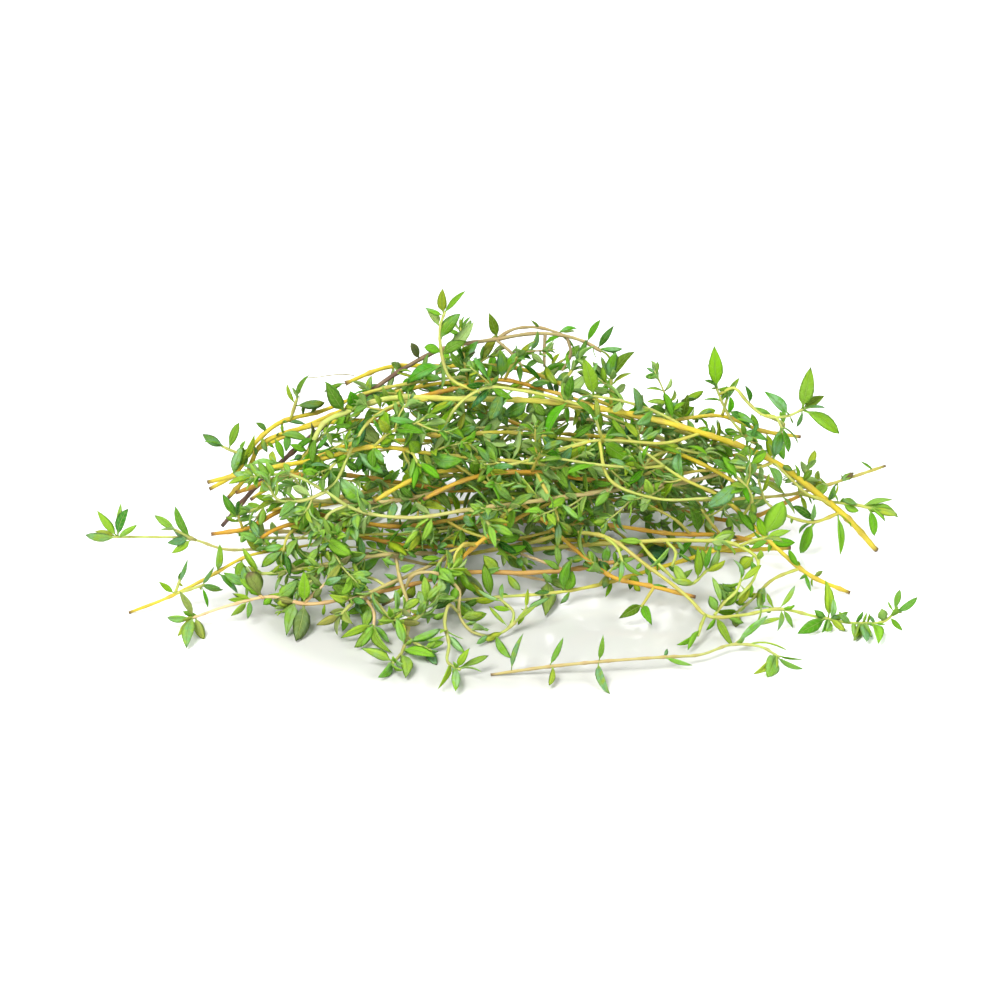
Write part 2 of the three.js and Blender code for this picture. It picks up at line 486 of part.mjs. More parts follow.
    stem: [[58, 41, 0], [44, 36, 8], [28, 33, 16], [12, 31, 22], [-4, 32, 28], [-18, 29, 33], [-30, 23, 37]],
    shoots: [
      [[28, 33, 16], [24, 38, 13], [18, 40, 11]],
      [[-4, 32, 28], [-9, 36, 29], [-16, 38, 28]],
    ],
    leaves: [],
  },
  inner_low_straw: {
    bark: 'straw', thick: 1.45, thin: 0.75, bare: 0.2,
    stem: [[66, 12, 3], [50, 16, 0], [30, 20, 0], [8, 22, 0], [-14, 22, 0], [-36, 17, 3], [-54, 11, 6]],
    shoots: [
      [[30, 20, 0], [25, 24, 3], [20, 27, 6]],
      [[-4, 22, 0], [-9, 18, 3], [-14, 16, 6]],
    ],
    leaves: [],
  },
  inner_low_pale: {
    bark: 'pale', thick: 1.3, thin: 0.75, bare: 0.15,
    stem: [[-55, 21, 3], [-44, 26, 0], [-26, 30, 0], [-4, 31, 0], [18, 30, 3], [38, 26, 6], [54, 22, 9]],
    shoots: [
      [[-26, 30, 0], [-22, 26, 5], [-18, 24, 9]],
      [[-4, 31, 0], [3, 33, 4], [9, 34, 8]],
    ],
    leaves: [],
  },
  inner_mid_olive: {
    bark: 'olive', thick: 1.3, thin: 0.75, bare: 0.1,
    stem: [[-50, 14, 11], [-30, 21, 13], [-8, 26, 15], [14, 27, 14], [44, 22, 13]],
    shoots: [
      [[-20, 24, 14], [-16, 28, 17], [-12, 30, 20]],
      [[12, 27, 14], [8, 23, 10], [3, 20, 8]],
    ],
    leaves: [],
  },
};

// Numbers spread evenly over 0 to 1, in an order that looks irregular.
const spread = (n, channel) => (n * [0.6180339887, 0.7548776662, 0.5698402910][channel]) % 1;

// How far apart the draws for sprigs, stems, pairs, halves, tries and twists start.
const [sprigStep, stemStep, pairStep, halfStep, tryStep, twistStep] = [97, 13, 5, 31, 7, 3];

const vector = ([x, y, z]) => new THREE.Vector3(x, y, z);

// The place on some stems that is nearest to a point, not quite at a stem's end.
function nearestStem(stems, target) {
  let nearest = { gap: Infinity };
  for (const stem of stems) {
    for (let i = 0; i + 1 < stem.points.length; i++) {
      const line = new THREE.Line3(stem.points[i], stem.points[i + 1]);
      const furthest = 1 - rootSunk / line.distance();
      const share = Math.min(line.closestPointToPointParameter(target, true), furthest);
      const spot = line.at(share, new THREE.Vector3());
      const gap = spot.distanceTo(target);
      if (gap < nearest.gap) nearest = { gap, spot, stem, i, share };
    }
  }
  return nearest;
}

// A sprig's stems: the main one first, then its shoots, each tied to a place on an earlier stem.
function plantStems({ thick, thin, stem, shoots }) {
  const stems = [{ points: stem.map(vector), thick, thin, sides: stemSides }];
  for (const shoot of shoots) {
    const points = shoot.map(vector);
    stems.push({ points, thick: shootThick, thin: shootThin, sides: shootSides, tie: nearestStem(stems, points[0]) });
  }
  return stems;
}

const between = (a, b, share) => a.clone().lerp(b, share);

const wayAt = (points, i) => points[Math.min(i + 1, points.length - 1)].clone().sub(points[Math.max(i - 1, 0)]).normalize();

function holdToParent({ points, tie }) {
  if (tie) points[0].copy(between(tie.stem.points[tie.i], tie.stem.points[tie.i + 1], tie.share));
}

// A stem lies on one of its flat sides, so its middle is this high. A steep one stands lower.
function restingHeight(stem, i) {
  const way = wayAt(stem.points, i);
  return radiusAt(stem, i) * flatSide * Math.hypot(way.x, way.y);
}

const radiusAt = (stem, place) => THREE.MathUtils.lerp(stem.thick, stem.thin, place / (stem.points.length - 1)) / 2;

// Closest places of two straight stretches, as shares of each.
function closestShares(a0, a1, b0, b1) {
  const d1 = a1.clone().sub(a0);
  const d2 = b1.clone().sub(b0);
  const r = a0.clone().sub(b0);
  const clamp = (value) => Math.min(1, Math.max(0, value));
  const a = d1.dot(d1);
  const b = d1.dot(d2);
  const c = d1.dot(r);
  const e = d2.dot(d2);
  const f = d2.dot(r);
  const denominator = a * e - b * b;
  let s = denominator > 1e-9 ? clamp((b * f - c * e) / denominator) : 0.5;
  let t = (b * s + f) / e;
  if (t < 0 || t > 1) {
    t = clamp(t);
    s = clamp((b * t - c) / a);
  }
  return [s, t];
}

const stretchesOf = (stems, owner) => stems.flatMap((stem) => stem.points.slice(1).map((_, i) => ({ stem, i, owner })));

// Stems of different sprigs are pushed apart, a little at a time, until air shows between them.
function spreadStems(allStems) {
  const stretches = allStems.flatMap((stems, owner) => stretchesOf(stems, owner));
  const apart = (one, two) => {
    const [a0, a1] = [one.stem.points[one.i], one.stem.points[one.i + 1]];
    const [b0, b1] = [two.stem.points[two.i], two.stem.points[two.i + 1]];
    const [s, t] = closestShares(a0, a1, b0, b1);
    const way = between(a0, a1, s).sub(between(b0, b1, t));
    return { s, t, way, distance: way.length(), ends: [a0, a1, b0, b1] };
  };
  const pairs = [];
  stretches.forEach((one, n) => {
    for (const two of stretches.slice(n + 1)) {
      if (one.owner !== two.owner && apart(one, two).distance < spreadReach) pairs.push([one, two]);
    }
  });
  for (let round = 0; round < spreadRounds; round++) {
    for (const [one, two] of pairs) {
      const { s, t, way, distance, ends } = apart(one, two);
      const need = radiusAt(one.stem, one.i + s) + radiusAt(two.stem, two.i + t) + airGap;
      if (distance >= need) continue;
      const push = distance > 1e-3 ? way.multiplyScalar((need - distance) / distance / 2) : new THREE.Vector3(0, 0, need / 2);
      ends[0].addScaledVector(push, 1 - s);
      ends[1].addScaledVector(push, s);
      ends[2].addScaledVector(push, t - 1);
      ends[3].addScaledVector(push, -t);
    }
    for (const stem of allStems.flat()) {
      holdToParent(stem);
      stem.points.forEach((point, i) => {
        point.z = Math.max(point.z, restingHeight(stem, i));
      });
    }
  }
}

// A grid of marked spots, each with the air that it keeps round it.
const grid = new Map();
const cellKey = (x, y, z) => (x * cellsAcross + y) * cellsAcross + z;
const cellOf = (spot) => spot.toArray().map((value) => Math.floor(value / cell) + cellsAcross / 2);

function mark(spot, reach, owner) {
  const key = cellKey(...cellOf(spot));
  if (!grid.has(key)) grid.set(key, []);
  grid.get(key).push({ spot, reach, owner });
}

function isFree(spot, reach, accepts) {
  const [x, y, z] = cellOf(spot);
  for (let i = -1; i <= 1; i++) {
    for (let j = -1; j <= 1; j++) {
      for (let k = -1; k <= 1; k++) {
        for (const other of grid.get(cellKey(x + i, y + j, z + k)) ?? []) {
          if (accepts(other) && spot.distanceTo(other.spot) < reach + other.reach) return false;
        }
      }
    }
  }
  return true;
}

function markStems(stems, owner) {
  for (const stem of stems) {
    for (let i = 0; i + 1 < stem.points.length; i++) {
      const steps = Math.ceil(stem.points[i].distanceTo(stem.points[i + 1]));
      for (let step = 0; step <= steps; step++) {
        const share = step / steps;
        const spot = between(stem.points[i], stem.points[i + 1], share);
        mark(spot, radiusAt(stem, i + share) + stemReach, `${owner} stem`);
      }
    }
  }
}

// Where a leaf sits: its root, the way it points, and the way its upper face looks.
function settleLeaf(root, way, face, long) {
  const along = way.clone().normalize();
  const up = face.clone().addScaledVector(along, -face.dot(along)).normalize();
  return { root, along, up, across: up.clone().cross(along), long, wide: long * leafSlim };
}

// A point of the blade: share of the length, share of half the width, height over the blade.
function bladePoint({ root, along, up, across, long, wide }, share, side, height) {
  const lift = leafArch * long * 4 * share * (1 - share) + height;
  return root.clone()
    .addScaledVector(along, share * long)
    .addScaledVector(across, side * wide / 2)
    .addScaledVector(up, lift);
}

// Spots along the middle and both edges of a blade, where it is tested for air.
const sampleShares = [0.2, 0.36, 0.52, 0.7, 0.86, 1];
const [fullFrom, narrowing, sampleWidth] = [0.36, 0.28, 0.84];
const outlineAt = (share) => sampleWidth * (share < fullFrom ? share / fullFrom : Math.min(1, (1 - share) / narrowing));

const leafSpots = (leaf) => sampleShares.flatMap((share) => [-1, 0, 1]
  .map((side) => ({ share, spot: bladePoint(leaf, share, side * outlineAt(share), 0) })));

function leafFits(leaf, owner) {
  return leafSpots(leaf).every(({ share, spot }) => spot.z > bladeThick / 2 + floorAir
    && isFree(spot, leafReach, (other) => (other.owner.startsWith(`${owner} `) ? share > 0.5 : true)));
}

function markLeaf(leaf, owner) {
  for (const { spot } of leafSpots(leaf)) mark(spot, leafReach, `${owner} leaf`);
}

const outward = (spot) => new THREE.Vector3(spot.x * endwise, spot.y - heapAxis.y, spot.z - heapAxis.z).normalize();

// A leaf whose tip is given turns until it is clear.
function growMarkedLeaf(stems, [tip, start = tip], owner, n) {
  const target = vector(tip);
  target.z = Math.max(target.z, lowestTip);
  const root = nearestStem(stems, vector(start)).spot;
  for (let attempt = 0; attempt < leafTries; attempt++) {
    const chance = [0, 1, 2].map((channel) => spread(n + attempt, channel) - 0.5);
    const sway = vector(chance).multiplyScalar(attempt * tipSway);
    const way = target.clone().add(sway).sub(root);
    const face = outward(target).add(frontLean).add(sway);
    const leaf = settleLeaf(root, way, face, Math.min(way.length(), givenLeafLong));
    if (leafFits(leaf, owner)) return leaf;
  }
  return null;
}

// Places for pairs of leaves: at the tip, then every pitch down the stem to its bare part.
function leafPlaces(stem, bare) {
  const lengths = stem.points.slice(1).map((point, i) => point.distanceTo(stem.points[i]));
  const total = lengths.reduce((sum, length) => sum + length, 0);
  const places = [];
  const furthest = total * (1 - bare) - lowestPair;
  for (let back = rootSunk; back < furthest; back += back === rootSunk ? pairPitch / 2 : pairPitch) {
    let left = total - back;
    let i = 0;
    while (i < lengths.length - 1 && left > lengths[i]) left -= lengths[i++];
    const share = left / lengths[i];
    places.push({
      root: between(stem.points[i], stem.points[i + 1], share),
      way: stem.points[i + 1].clone().sub(stem.points[i]).normalize(),
      atTip: back === rootSunk,
    });
  }
  return places;
}

// Two opposite leaves. Each pair is turned a quarter from the one above it.
function growPair(place, pairNumber, owner, start) {
  const { root, way, atTip } = place;
  const side = new THREE.Vector3(0, 0, 1).cross(way).normalize();
  const leaves = [];
  for (const half of [0, 1]) {
    for (let attempt = 0; attempt < leafTries; attempt++) {
      const n = start + half * halfStep + attempt * tryStep;
      const turn = Math.PI * (pairNumber / 2 + half + (spread(n, 0) - 0.5) * (attempt + 1) * turnSway);
      const open = THREE.MathUtils.lerp(...(atTip ? tipOpening : pairOpening), spread(n, 1));
      const size = atTip ? tipLeafLong : THREE.MathUtils.lerp(leafShort, leafLong, spread(n, 2));
      const shrink = THREE.MathUtils.lerp(1, smallestShare, attempt / leafTries);
      const radial = side.clone().applyAxisAngle(way, turn);
      const along = radial.clone().multiplyScalar(Math.sin(open)).addScaledVector(way, Math.cos(open));
      const twist = radial.clone().applyAxisAngle(way, Math.PI / 2).multiplyScalar(spread(n + twistStep, 0) - 0.5);
      const face = way.clone().multiplyScalar(0.5).add(outward(root)).add(twist);
      const leaf = settleLeaf(root, along, face, size * shrink);
      if (leafFits(leaf, owner)) {
        markLeaf(leaf, owner);
        leaves.push(leaf);
        break;
      }
    }
  }
  return leaves;
}

// A closed geometry as a solid. Faces that narrowed to nothing are left out.
function asManifold(geometry) {
  geometry.deleteAttribute('normal');
  geometry.deleteAttribute('uv');
  const merged = mergeVertices(geometry, 1e-4);
  const corners = [];
  for (let n = 0; n < merged.index.count; n += 3) {
    const face = [0, 1, 2].map((k) => merged.index.getX(n + k));
    if (new Set(face).size === 3) corners.push(...face);
  }
  return new wasm.Manifold(new wasm.Mesh({
    numProp: 3,
    vertProperties: new Float32Array(merged.attributes.position.array),
    triVerts: new Uint32Array(corners),
  }));
}

// A square rod along the stem's points, tapering to the tip, its rings square to the stem.
function stemSolid(stem) {
  const { points, sides } = stem;
  const last = points.length - 1;
  const outline = new THREE.Shape(Array.from({ length: sides }, (_, i) => {
    const angle = 2 * Math.PI * (i + 0.5) / sides;
    return new THREE.Vector2(Math.cos(angle), Math.sin(angle));
  }));
  const geometry = new THREE.ExtrudeGeometry(outline, { depth: last, steps: last, bevelEnabled: false });
  const rings = points.map((point, i) => {
    const way = wayAt(points, i);
    const side = new THREE.Vector3(0, 0, 1).cross(way).normalize();
    return { point, side, up: way.clone().cross(side), radius: radiusAt(stem, i) };
  });
  const { position } = geometry.attributes;
  for (let n = 0; n < position.count; n++) {
    const { point, side, up, radius } = rings[Math.round(position.getZ(n))];
    const placed = point.clone()
      .addScaledVector(side, position.getX(n) * radius)
      .addScaledVector(up, position.getY(n) * radius);
    position.setXYZ(n, ...placed.toArray());
  }
  return asManifold(geometry);
}

// A flat bar, one step for each stretch of the leaf, narrowed to a point at its root and its tip.
function leafSolid(leaf) {
  const outline = leaf.long >= broadFrom ? broadOutline : slimOutline;
  const last = outline.length - 1;
  const geometry = new THREE.BoxGeometry(2, 2, last, 1, 1, last).translate(0, 0, last / 2);
  const { position } = geometry.attributes;
  for (let n = 0; n < position.count; n++) {
    const [share, side] = outline[Math.round(position.getZ(n))];
    const height = side > 0 ? position.getY(n) * bladeThick / 2 : 0;
    position.setXYZ(n, ...bladePoint(leaf, share, position.getX(n) * side, height).toArray());
  }
  return asManifold(geometry);
}

// Everything below the surface, so that low stems rest on flat spots.
const belowSurface = asManifold(new THREE.BoxGeometry(400, 400, 40).translate(0, 0, -20));

function fuse(stems, leaves) {
  const joined = [...stems.map(stemSolid), ...leaves.map(leafSolid)].reduce((whole, piece) => whole.add(piece));
  const bodies = joined.subtract(belowSurface).decompose();
  return bodies.reduce((largest, body) => (body.volume() > largest.volume() ? body : largest));
}

// Points within a stem's thickness have the bark's colour, and all others the leaves'.
function paint(geometry, stems, bark) {
  const barkColour = new THREE.Color(barkColours[bark]);
  const leafColour = new THREE.Color(leafColours[bark]);
  const { position } = geometry.attributes;
  const colours = new Float32Array(position.count * 3);
  for (let n = 0; n < position.count; n++) {
    const spot = new THREE.Vector3().fromBufferAttribute(position, n);
    const onStem = nearestStem(stems, spot).gap < shootThick;
    (onStem ? barkColour : leafColour).toArray(colours, n * 3);
  }
  geometry.setAttribute('color', new THREE.BufferAttribute(colours, 3));
}

function sprigMesh(name, solid, stems, bark) {
  const { vertProperties, triVerts } = solid.getMesh();
  const geometry = new THREE.BufferGeometry();
  geometry.setAttribute('position', new THREE.BufferAttribute(new Float32Array(vertProperties), 3));
  geometry.setIndex(new THREE.BufferAttribute(new Uint32Array(triVerts), 1));
  geometry.computeVertexNormals();
  paint(geometry, stems, bark);
  const mesh = new THREE.Mesh(geometry, new THREE.MeshStandardMaterial({ vertexColors: true, roughness: 0.6, metalness: 0 }));
  mesh.name = name;
  return mesh;
}

const names = Object.keys(sprigs);
const allStems = names.map((name) => plantStems(sprigs[name]));
spreadStems(allStems);
names.forEach((name, n) => markStems(allStems[n], name));

const allLeaves = names.map((name, n) => sprigs[name].leaves.flatMap((ends, k) => {
  const leaf = growMarkedLeaf(allStems[n], ends, name, k);
  if (leaf) markLeaf(leaf, name);
  return leaf ? [leaf] : [];
}));
names.forEach((name, n) => {
  allStems[n].forEach((stem, k) => {
    const places = leafPlaces(stem, k === 0 ? sprigs[name].bare : 0);
    places.forEach((place, p) => {
      allLeaves[n].push(...growPair(place, p, name, n * sprigStep + k * stemStep + p * pairStep));
    });
  });
});

const thymeBundle = new THREE.Group();
names.forEach((name, n) => {
  thymeBundle.add(sprigMesh(name, fuse(allStems[n], allLeaves[n]), allStems[n], sprigs[name].bark));
});

export default thymeBundle;
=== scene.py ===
# A loose heap of cut thyme sprigs, dressed in Blender round the imported frame.
# Routes and leaf sizes are in millimetres, and become metres when a mesh is made.
import math
import random

import bmesh
import bpy
import numpy as np
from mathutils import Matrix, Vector


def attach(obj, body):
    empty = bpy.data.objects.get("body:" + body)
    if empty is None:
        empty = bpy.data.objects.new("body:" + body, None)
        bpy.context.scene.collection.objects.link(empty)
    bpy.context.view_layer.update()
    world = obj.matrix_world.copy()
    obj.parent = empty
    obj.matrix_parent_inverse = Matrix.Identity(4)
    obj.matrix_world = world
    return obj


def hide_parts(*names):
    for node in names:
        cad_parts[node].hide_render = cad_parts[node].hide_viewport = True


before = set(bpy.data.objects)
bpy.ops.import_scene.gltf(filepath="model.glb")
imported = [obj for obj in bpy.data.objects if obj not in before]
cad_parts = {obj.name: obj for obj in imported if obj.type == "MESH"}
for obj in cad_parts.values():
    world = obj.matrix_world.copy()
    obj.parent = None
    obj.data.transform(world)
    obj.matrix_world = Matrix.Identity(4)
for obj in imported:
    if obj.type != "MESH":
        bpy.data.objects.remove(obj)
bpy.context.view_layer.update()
print("frame loaded,", len(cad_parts), "sprigs")

millimetre = 0.001

# camera
cameraLook = {
    "target": (0, -0.008, 0.0243),
    "distance": 0.85,
    "elevation": 25,  # degrees above the floor
    "sensor": 36,
    "widthSeen": 0.22,  # metres across the view, at the target
}


def makeCamera():
    data = bpy.data.cameras.new("camera")
    data.sensor_width = cameraLook["sensor"]
    data.lens = cameraLook["sensor"] * cameraLook["distance"] / cameraLook["widthSeen"]
    camera = bpy.data.objects.new("camera", data)
    bpy.context.scene.collection.objects.link(camera)
    tilt = math.radians(cameraLook["elevation"])
    back = Vector((0, -math.cos(tilt), math.sin(tilt)))
    camera.location = Vector(cameraLook["target"]) + back * cameraLook["distance"]
    camera.rotation_euler = (-back).to_track_quat("-Z", "Y").to_euler()
    bpy.context.scene.camera = camera


# a white studio with three square softboxes that face the heap
lightLook = {
    "worldColour": (1, 1, 1), "worldStrength": 0.5, "boxSize": 0.5,
    "softboxes": {
        "key": {"place": (-0.4, -0.55, 0.8), "watts": 17, "colour": (1, 1, 0.99)},
        "fill": {"place": (0.7, -0.65, 0.45), "watts": 7, "colour": (0.96, 0.98, 1)},
        "rim": {"place": (0.15, 0.8, 0.7), "watts": 6, "colour": (1, 1, 1)},
    },
}


def makeLights():
    world = bpy.data.worlds.new("studio")
    world.use_nodes = True
    background = world.node_tree.nodes["Background"]
    background.inputs["Color"].default_value = (*lightLook["worldColour"], 1)
    background.inputs["Strength"].default_value = lightLook["worldStrength"]
    bpy.context.scene.world = world
    for name, box in lightLook["softboxes"].items():
        data = bpy.data.lights.new(name, "AREA")
        data.size = lightLook["boxSize"]
        data.energy = box["watts"]
        data.color = box["colour"]
        light = bpy.data.objects.new(name, data)
        light.location = box["place"]
        towards = Vector(cameraLook["target"]) - light.location
        light.rotation_euler = towards.to_track_quat("-Z", "Y").to_euler()
        bpy.context.scene.collection.objects.link(light)
    bpy.context.scene.view_settings.view_transform = "Standard"


class Plug:
    # a socket whose sums, written as Python, become Math nodes

    def __init__(self, tree, socket):
        self.tree = tree
        self.socket = socket

    def maths(self, operation, *terms):
        return addNode(self.tree, "ShaderNodeMath", {"operation": operation}, dict(enumerate(terms)))

    def __add__(self, other):
        return self.maths("ADD", self, other)

    def __sub__(self, other):
        return self.maths("SUBTRACT", self, other)

    def __rsub__(self, other):
        return self.maths("SUBTRACT", other, self)

    def __mul__(self, other):
        return self.maths("MULTIPLY", self, other)

    __radd__ = __add__
    __rmul__ = __mul__

    def size(self):
        return self.maths("ABSOLUTE", self)

    def sine(self):
        return self.maths("SINE", self)


def addNode(tree, kind, settings, values, output=0):
    # settings come first, then what each input is linked to or set to
    node = tree.nodes.new(kind)
    for name, value in settings.items():
        setattr(node, name, value)
    for name, value in values.items():
        if isinstance(value, Plug):
            tree.links.new(value.socket, node.inputs[name])
        else:
            node.inputs[name].default_value = value
    return Plug(tree, node.outputs[output]) if node.outputs else node


colourMix = {"first": 6, "second": 7, "result": 2}  # the Mix node's colour sockets, by number


def mixColours(tree, share, first, second):
    first, second = [value if isinstance(value, Plug) else (*value, 1) for value in (first, second)]
    inputs = {0: share, colourMix["first"]: first, colourMix["second"]: second}
    return addNode(tree, "ShaderNodeMix", {"data_type": "RGBA"}, inputs, colourMix["result"])


def rise(tree, value, low, high):
    # 0 below low, 1 above high, and smooth between
    return addNode(tree, "ShaderNodeMapRange", {"interpolation_type": "SMOOTHSTEP"},
                   {"Value": value, "From Min": low, "From Max": high})


def readAttribute(tree, name):
    vector = addNode(tree, "ShaderNodeAttribute", {"attribute_name": name}, {}, "Vector")
    parts = [addNode(tree, "ShaderNodeSeparateXYZ", {}, {0: vector}, axis) for axis in range(3)]
    return vector, parts


def objectPlace(tree):
    return addNode(tree, "ShaderNodeTexCoord", {}, {}, "Object")


def addNoise(tree, place, scale, detail=2, roughness=0.5):
    values = {"Vector": place, "Scale": scale, "Detail": detail, "Roughness": roughness}
    return addNode(tree, "ShaderNodeTexNoise", {}, values)


def newMaterial(name):
    material = bpy.data.materials.new(name)
    material.use_nodes = True
    tree = material.node_tree
    tree.nodes.clear()
    return material, tree


def finishSurface(tree, colour, roughness, specular, bump=None, through=None):
    # bump has a height and its depth in metres, and through has the share and colour of light let through
    values = {"Base Color": colour, "Roughness": roughness, "Specular IOR Level": specular}
    if bump:
        height, depth = bump
        inputs = {"Height": height, "Distance": depth, "Strength": 1}
        values["Normal"] = addNode(tree, "ShaderNodeBump", {}, inputs)
    surface = addNode(tree, "ShaderNodeBsdfPrincipled", {}, values)
    if through:
        share, glowColour = through
        inputs = {"Color": (*glowColour, 1), "Normal": values["Normal"]}
        glow = addNode(tree, "ShaderNodeBsdfTranslucent", {}, inputs)
        surface = addNode(tree, "ShaderNodeMixShader", {}, {0: share, 1: surface, 2: glow})
    addNode(tree, "ShaderNodeOutputMaterial", {}, {"Surface": surface})


# leaves. blade holds share of the length, place across from -1 to 1, and 1 above or -1 below.
# nature holds each leaf's own tone, youth and bloom, a pale grey-green film that is partly the leaf's own
# bloom and partly a painted sheen, and wear how spoiled, yellow and purple it is.
leafLooks = {
    "leaf": {
        "deep": (0.011, 0.080, 0.005), "fresh": (0.105, 0.37, 0.006), "young": (0.34, 0.53, 0.05),
        "yellow": (0.46, 0.43, 0.02), "purple": (0.17, 0.085, 0.075), "below": (0.36, 0.50, 0.17),
        # the bloom colours are a pale grey-green film, partly the leaf's own bloom and partly a painted sheen
        "deepBloomAndSheen": (0.045, 0.17, 0.085), "freshBloomAndSheen": (0.29, 0.46, 0.26), "rim": (0.31, 0.53, 0.12),
        "rib": (0.35, 0.53, 0.11), "tip": (0.10, 0.06, 0.045),
    },
    "young_leaf": {
        "deep": (0.030, 0.16, 0.012), "fresh": (0.18, 0.44, 0.018), "young": (0.39, 0.58, 0.07),
        "yellow": (0.50, 0.49, 0.03), "purple": (0.22, 0.11, 0.09), "below": (0.42, 0.55, 0.21),
        # the bloom colours are a pale grey-green film, partly the leaf's own bloom and partly a painted sheen
        "deepBloomAndSheen": (0.09, 0.25, 0.13), "freshBloomAndSheen": (0.36, 0.53, 0.28), "rim": (0.41, 0.60, 0.16),
        "rib": (0.44, 0.60, 0.15), "tip": (0.15, 0.09, 0.06),
    },
}
# where a value is a pair, a mask starts at the first number and is whole at the second
leafSurface = {
    "blotchScale": 420, "grainScale": 2600, "grainDetail": 1, "underside": (-0.02, 0.02), "belowShare": 0.72,
    "ribEdge": 0.11, "ribCore": 0.35, "ribAbove": 0.35, "ribBelow": 0.35,
    "veinPitch": 6.5, "veinSlant": 1.9, "veinSharp": (0.55, 1), "veinOffRib": (0.06, 0.2), "veinShare": 0.14,
    "toneInShade": 0.9, "blotchInShade": 0.4, "deeper": 0.15, "yellowShare": 0.6,
    "bloomAndSheenShare": 0.86, "bloomAndSheenPatches": (0.3, 0.65), "rim": (0.75, 1), "rimShare": 0.32,
    "stalk": (0.08, 0.26), "stalkShare": 0.6,
    "spoiled": (1.15, 1.35), "spoiledReach": 0.5, "spoiledRagged": 0.15, "spoiledShare": 0.85,
    "roughAbove": 0.36, "roughBelow": 0.62, "roughGrain": 0.1, "specular": 0.06,
    "bumpDepth": 0.0002, "grainHeight": 0.5, "veinDepth": 1.5, "ribDepth": 0.9,
    "throughShare": 0.35, "throughColour": (0.20, 0.80, 0.02), "throughTone": 0.6, "throughYouth": 0.5,
    "throughLeast": 0.3,
}


def makeLeafMaterial(name):
    look, surface = leafLooks[name], leafSurface
    material, tree = newMaterial(name)
    _, (along, across, layer) = readAttribute(tree, "blade")
    _, (tone, youth, bloom) = readAttribute(tree, "nature")
    _, (spoiled, yellow, purple) = readAttribute(tree, "wear")
    place = objectPlace(tree)
    blotch = addNoise(tree, place, surface["blotchScale"])
    grain = addNoise(tree, place, surface["grainScale"], surface["grainDetail"])
    below = 1 - rise(tree, layer, *surface["underside"])
    offRib = across.size()
    rib = 1 - rise(tree, offRib, surface["ribEdge"] * surface["ribCore"], surface["ribEdge"])
    wave = (along * surface["veinPitch"] * 2 * math.pi - offRib * surface["veinSlant"] * math.pi).sine()
    veins = rise(tree, wave, *surface["veinSharp"]) * rise(tree, offRib, *surface["veinOffRib"])
    veins = veins * surface["veinShare"]
    shade = tone * surface["toneInShade"] + blotch * surface["blotchInShade"] - surface["deeper"]
    colour = mixColours(tree, shade, look["deep"], look["fresh"])
    colour = mixColours(tree, youth, colour, look["young"])
    colour = mixColours(tree, yellow * surface["yellowShare"], colour, look["yellow"])
    # painted sheen: a pale film laid on in patches, partly the leaf's own bloom and partly a painted sheen of
    # lit leaves
    bloomAndSheenFilm = bloom * surface["bloomAndSheenShare"] * rise(tree, blotch, *surface["bloomAndSheenPatches"])
    bloomAndSheenFilmColour = mixColours(tree, shade, look["deepBloomAndSheen"], look["freshBloomAndSheen"])
    colour = mixColours(tree, bloomAndSheenFilm, colour, bloomAndSheenFilmColour)
    colour = mixColours(tree, below * surface["belowShare"], colour, look["below"])
    ribShown = rib * (surface["ribAbove"] + below * surface["ribBelow"])
    colour = mixColours(tree, ribShown + veins, colour, look["rib"])
    colour = mixColours(tree, rise(tree, offRib, *surface["rim"]) * surface["rimShare"], colour, look["rim"])
    stalk = 1 - rise(tree, along, *surface["stalk"])
    colour = mixColours(tree, stalk * surface["stalkShare"], colour, look["rib"])
    colour = mixColours(tree, purple, colour, look["purple"])
    ragged = along + spoiled * surface["spoiledReach"] + blotch * surface["spoiledRagged"]
    dry = rise(tree, ragged, *surface["spoiled"]) * surface["spoiledShare"]
    colour = mixColours(tree, dry, colour, look["tip"])
    roughness = surface["roughAbove"] + below * (surface["roughBelow"] - surface["roughAbove"])
    roughness = roughness + grain * surface["roughGrain"]
    height = grain * surface["grainHeight"] - veins * surface["veinDepth"]
    height = height - rib * (1 - below * 2) * surface["ribDepth"]
    thin = tone * surface["throughTone"] + youth * surface["throughYouth"] + surface["throughLeast"]
    finishSurface(tree, colour, roughness, surface["specular"], (height, surface["bumpDepth"]),
                  (thin * surface["throughShare"], surface["throughColour"]))
    return material


# stems. around holds a stem's turn as cosine and sine, and the way along it in millimetres.
# growth holds the share of its length, the closeness to a pair of leaves, and to its cut end.
barkLooks = {
    "straw": {
        "old": (0.52, 0.40, 0.012), "grey": (0.56, 0.47, 0.05), "green": (0.41, 0.49, 0.11),
        "cut": (0.10, 0.05, 0.03),
    },
    "brown": {
        "old": (0.46, 0.225, 0.010), "grey": (0.58, 0.375, 0.04), "green": (0.46, 0.46, 0.08),
        "cut": (0.11, 0.05, 0.03),
    },
    "dark": {
        "old": (0.07, 0.035, 0.028), "grey": (0.17, 0.10, 0.07), "green": (0.40, 0.33, 0.13),
        "cut": (0.05, 0.03, 0.025),
    },
    "olive": {
        "old": (0.40, 0.38, 0.05), "grey": (0.46, 0.42, 0.12), "green": (0.42, 0.54, 0.09),
        "cut": (0.12, 0.07, 0.045),
    },
    "rosy": {
        "old": (0.40, 0.20, 0.03), "grey": (0.54, 0.34, 0.10), "green": (0.68, 0.52, 0.27),
        "cut": (0.16, 0.10, 0.06),
    },
    "pale": {
        "old": (0.42, 0.36, 0.11), "grey": (0.47, 0.37, 0.17), "green": (0.40, 0.49, 0.11),
        "cut": (0.16, 0.10, 0.06),
    },
}
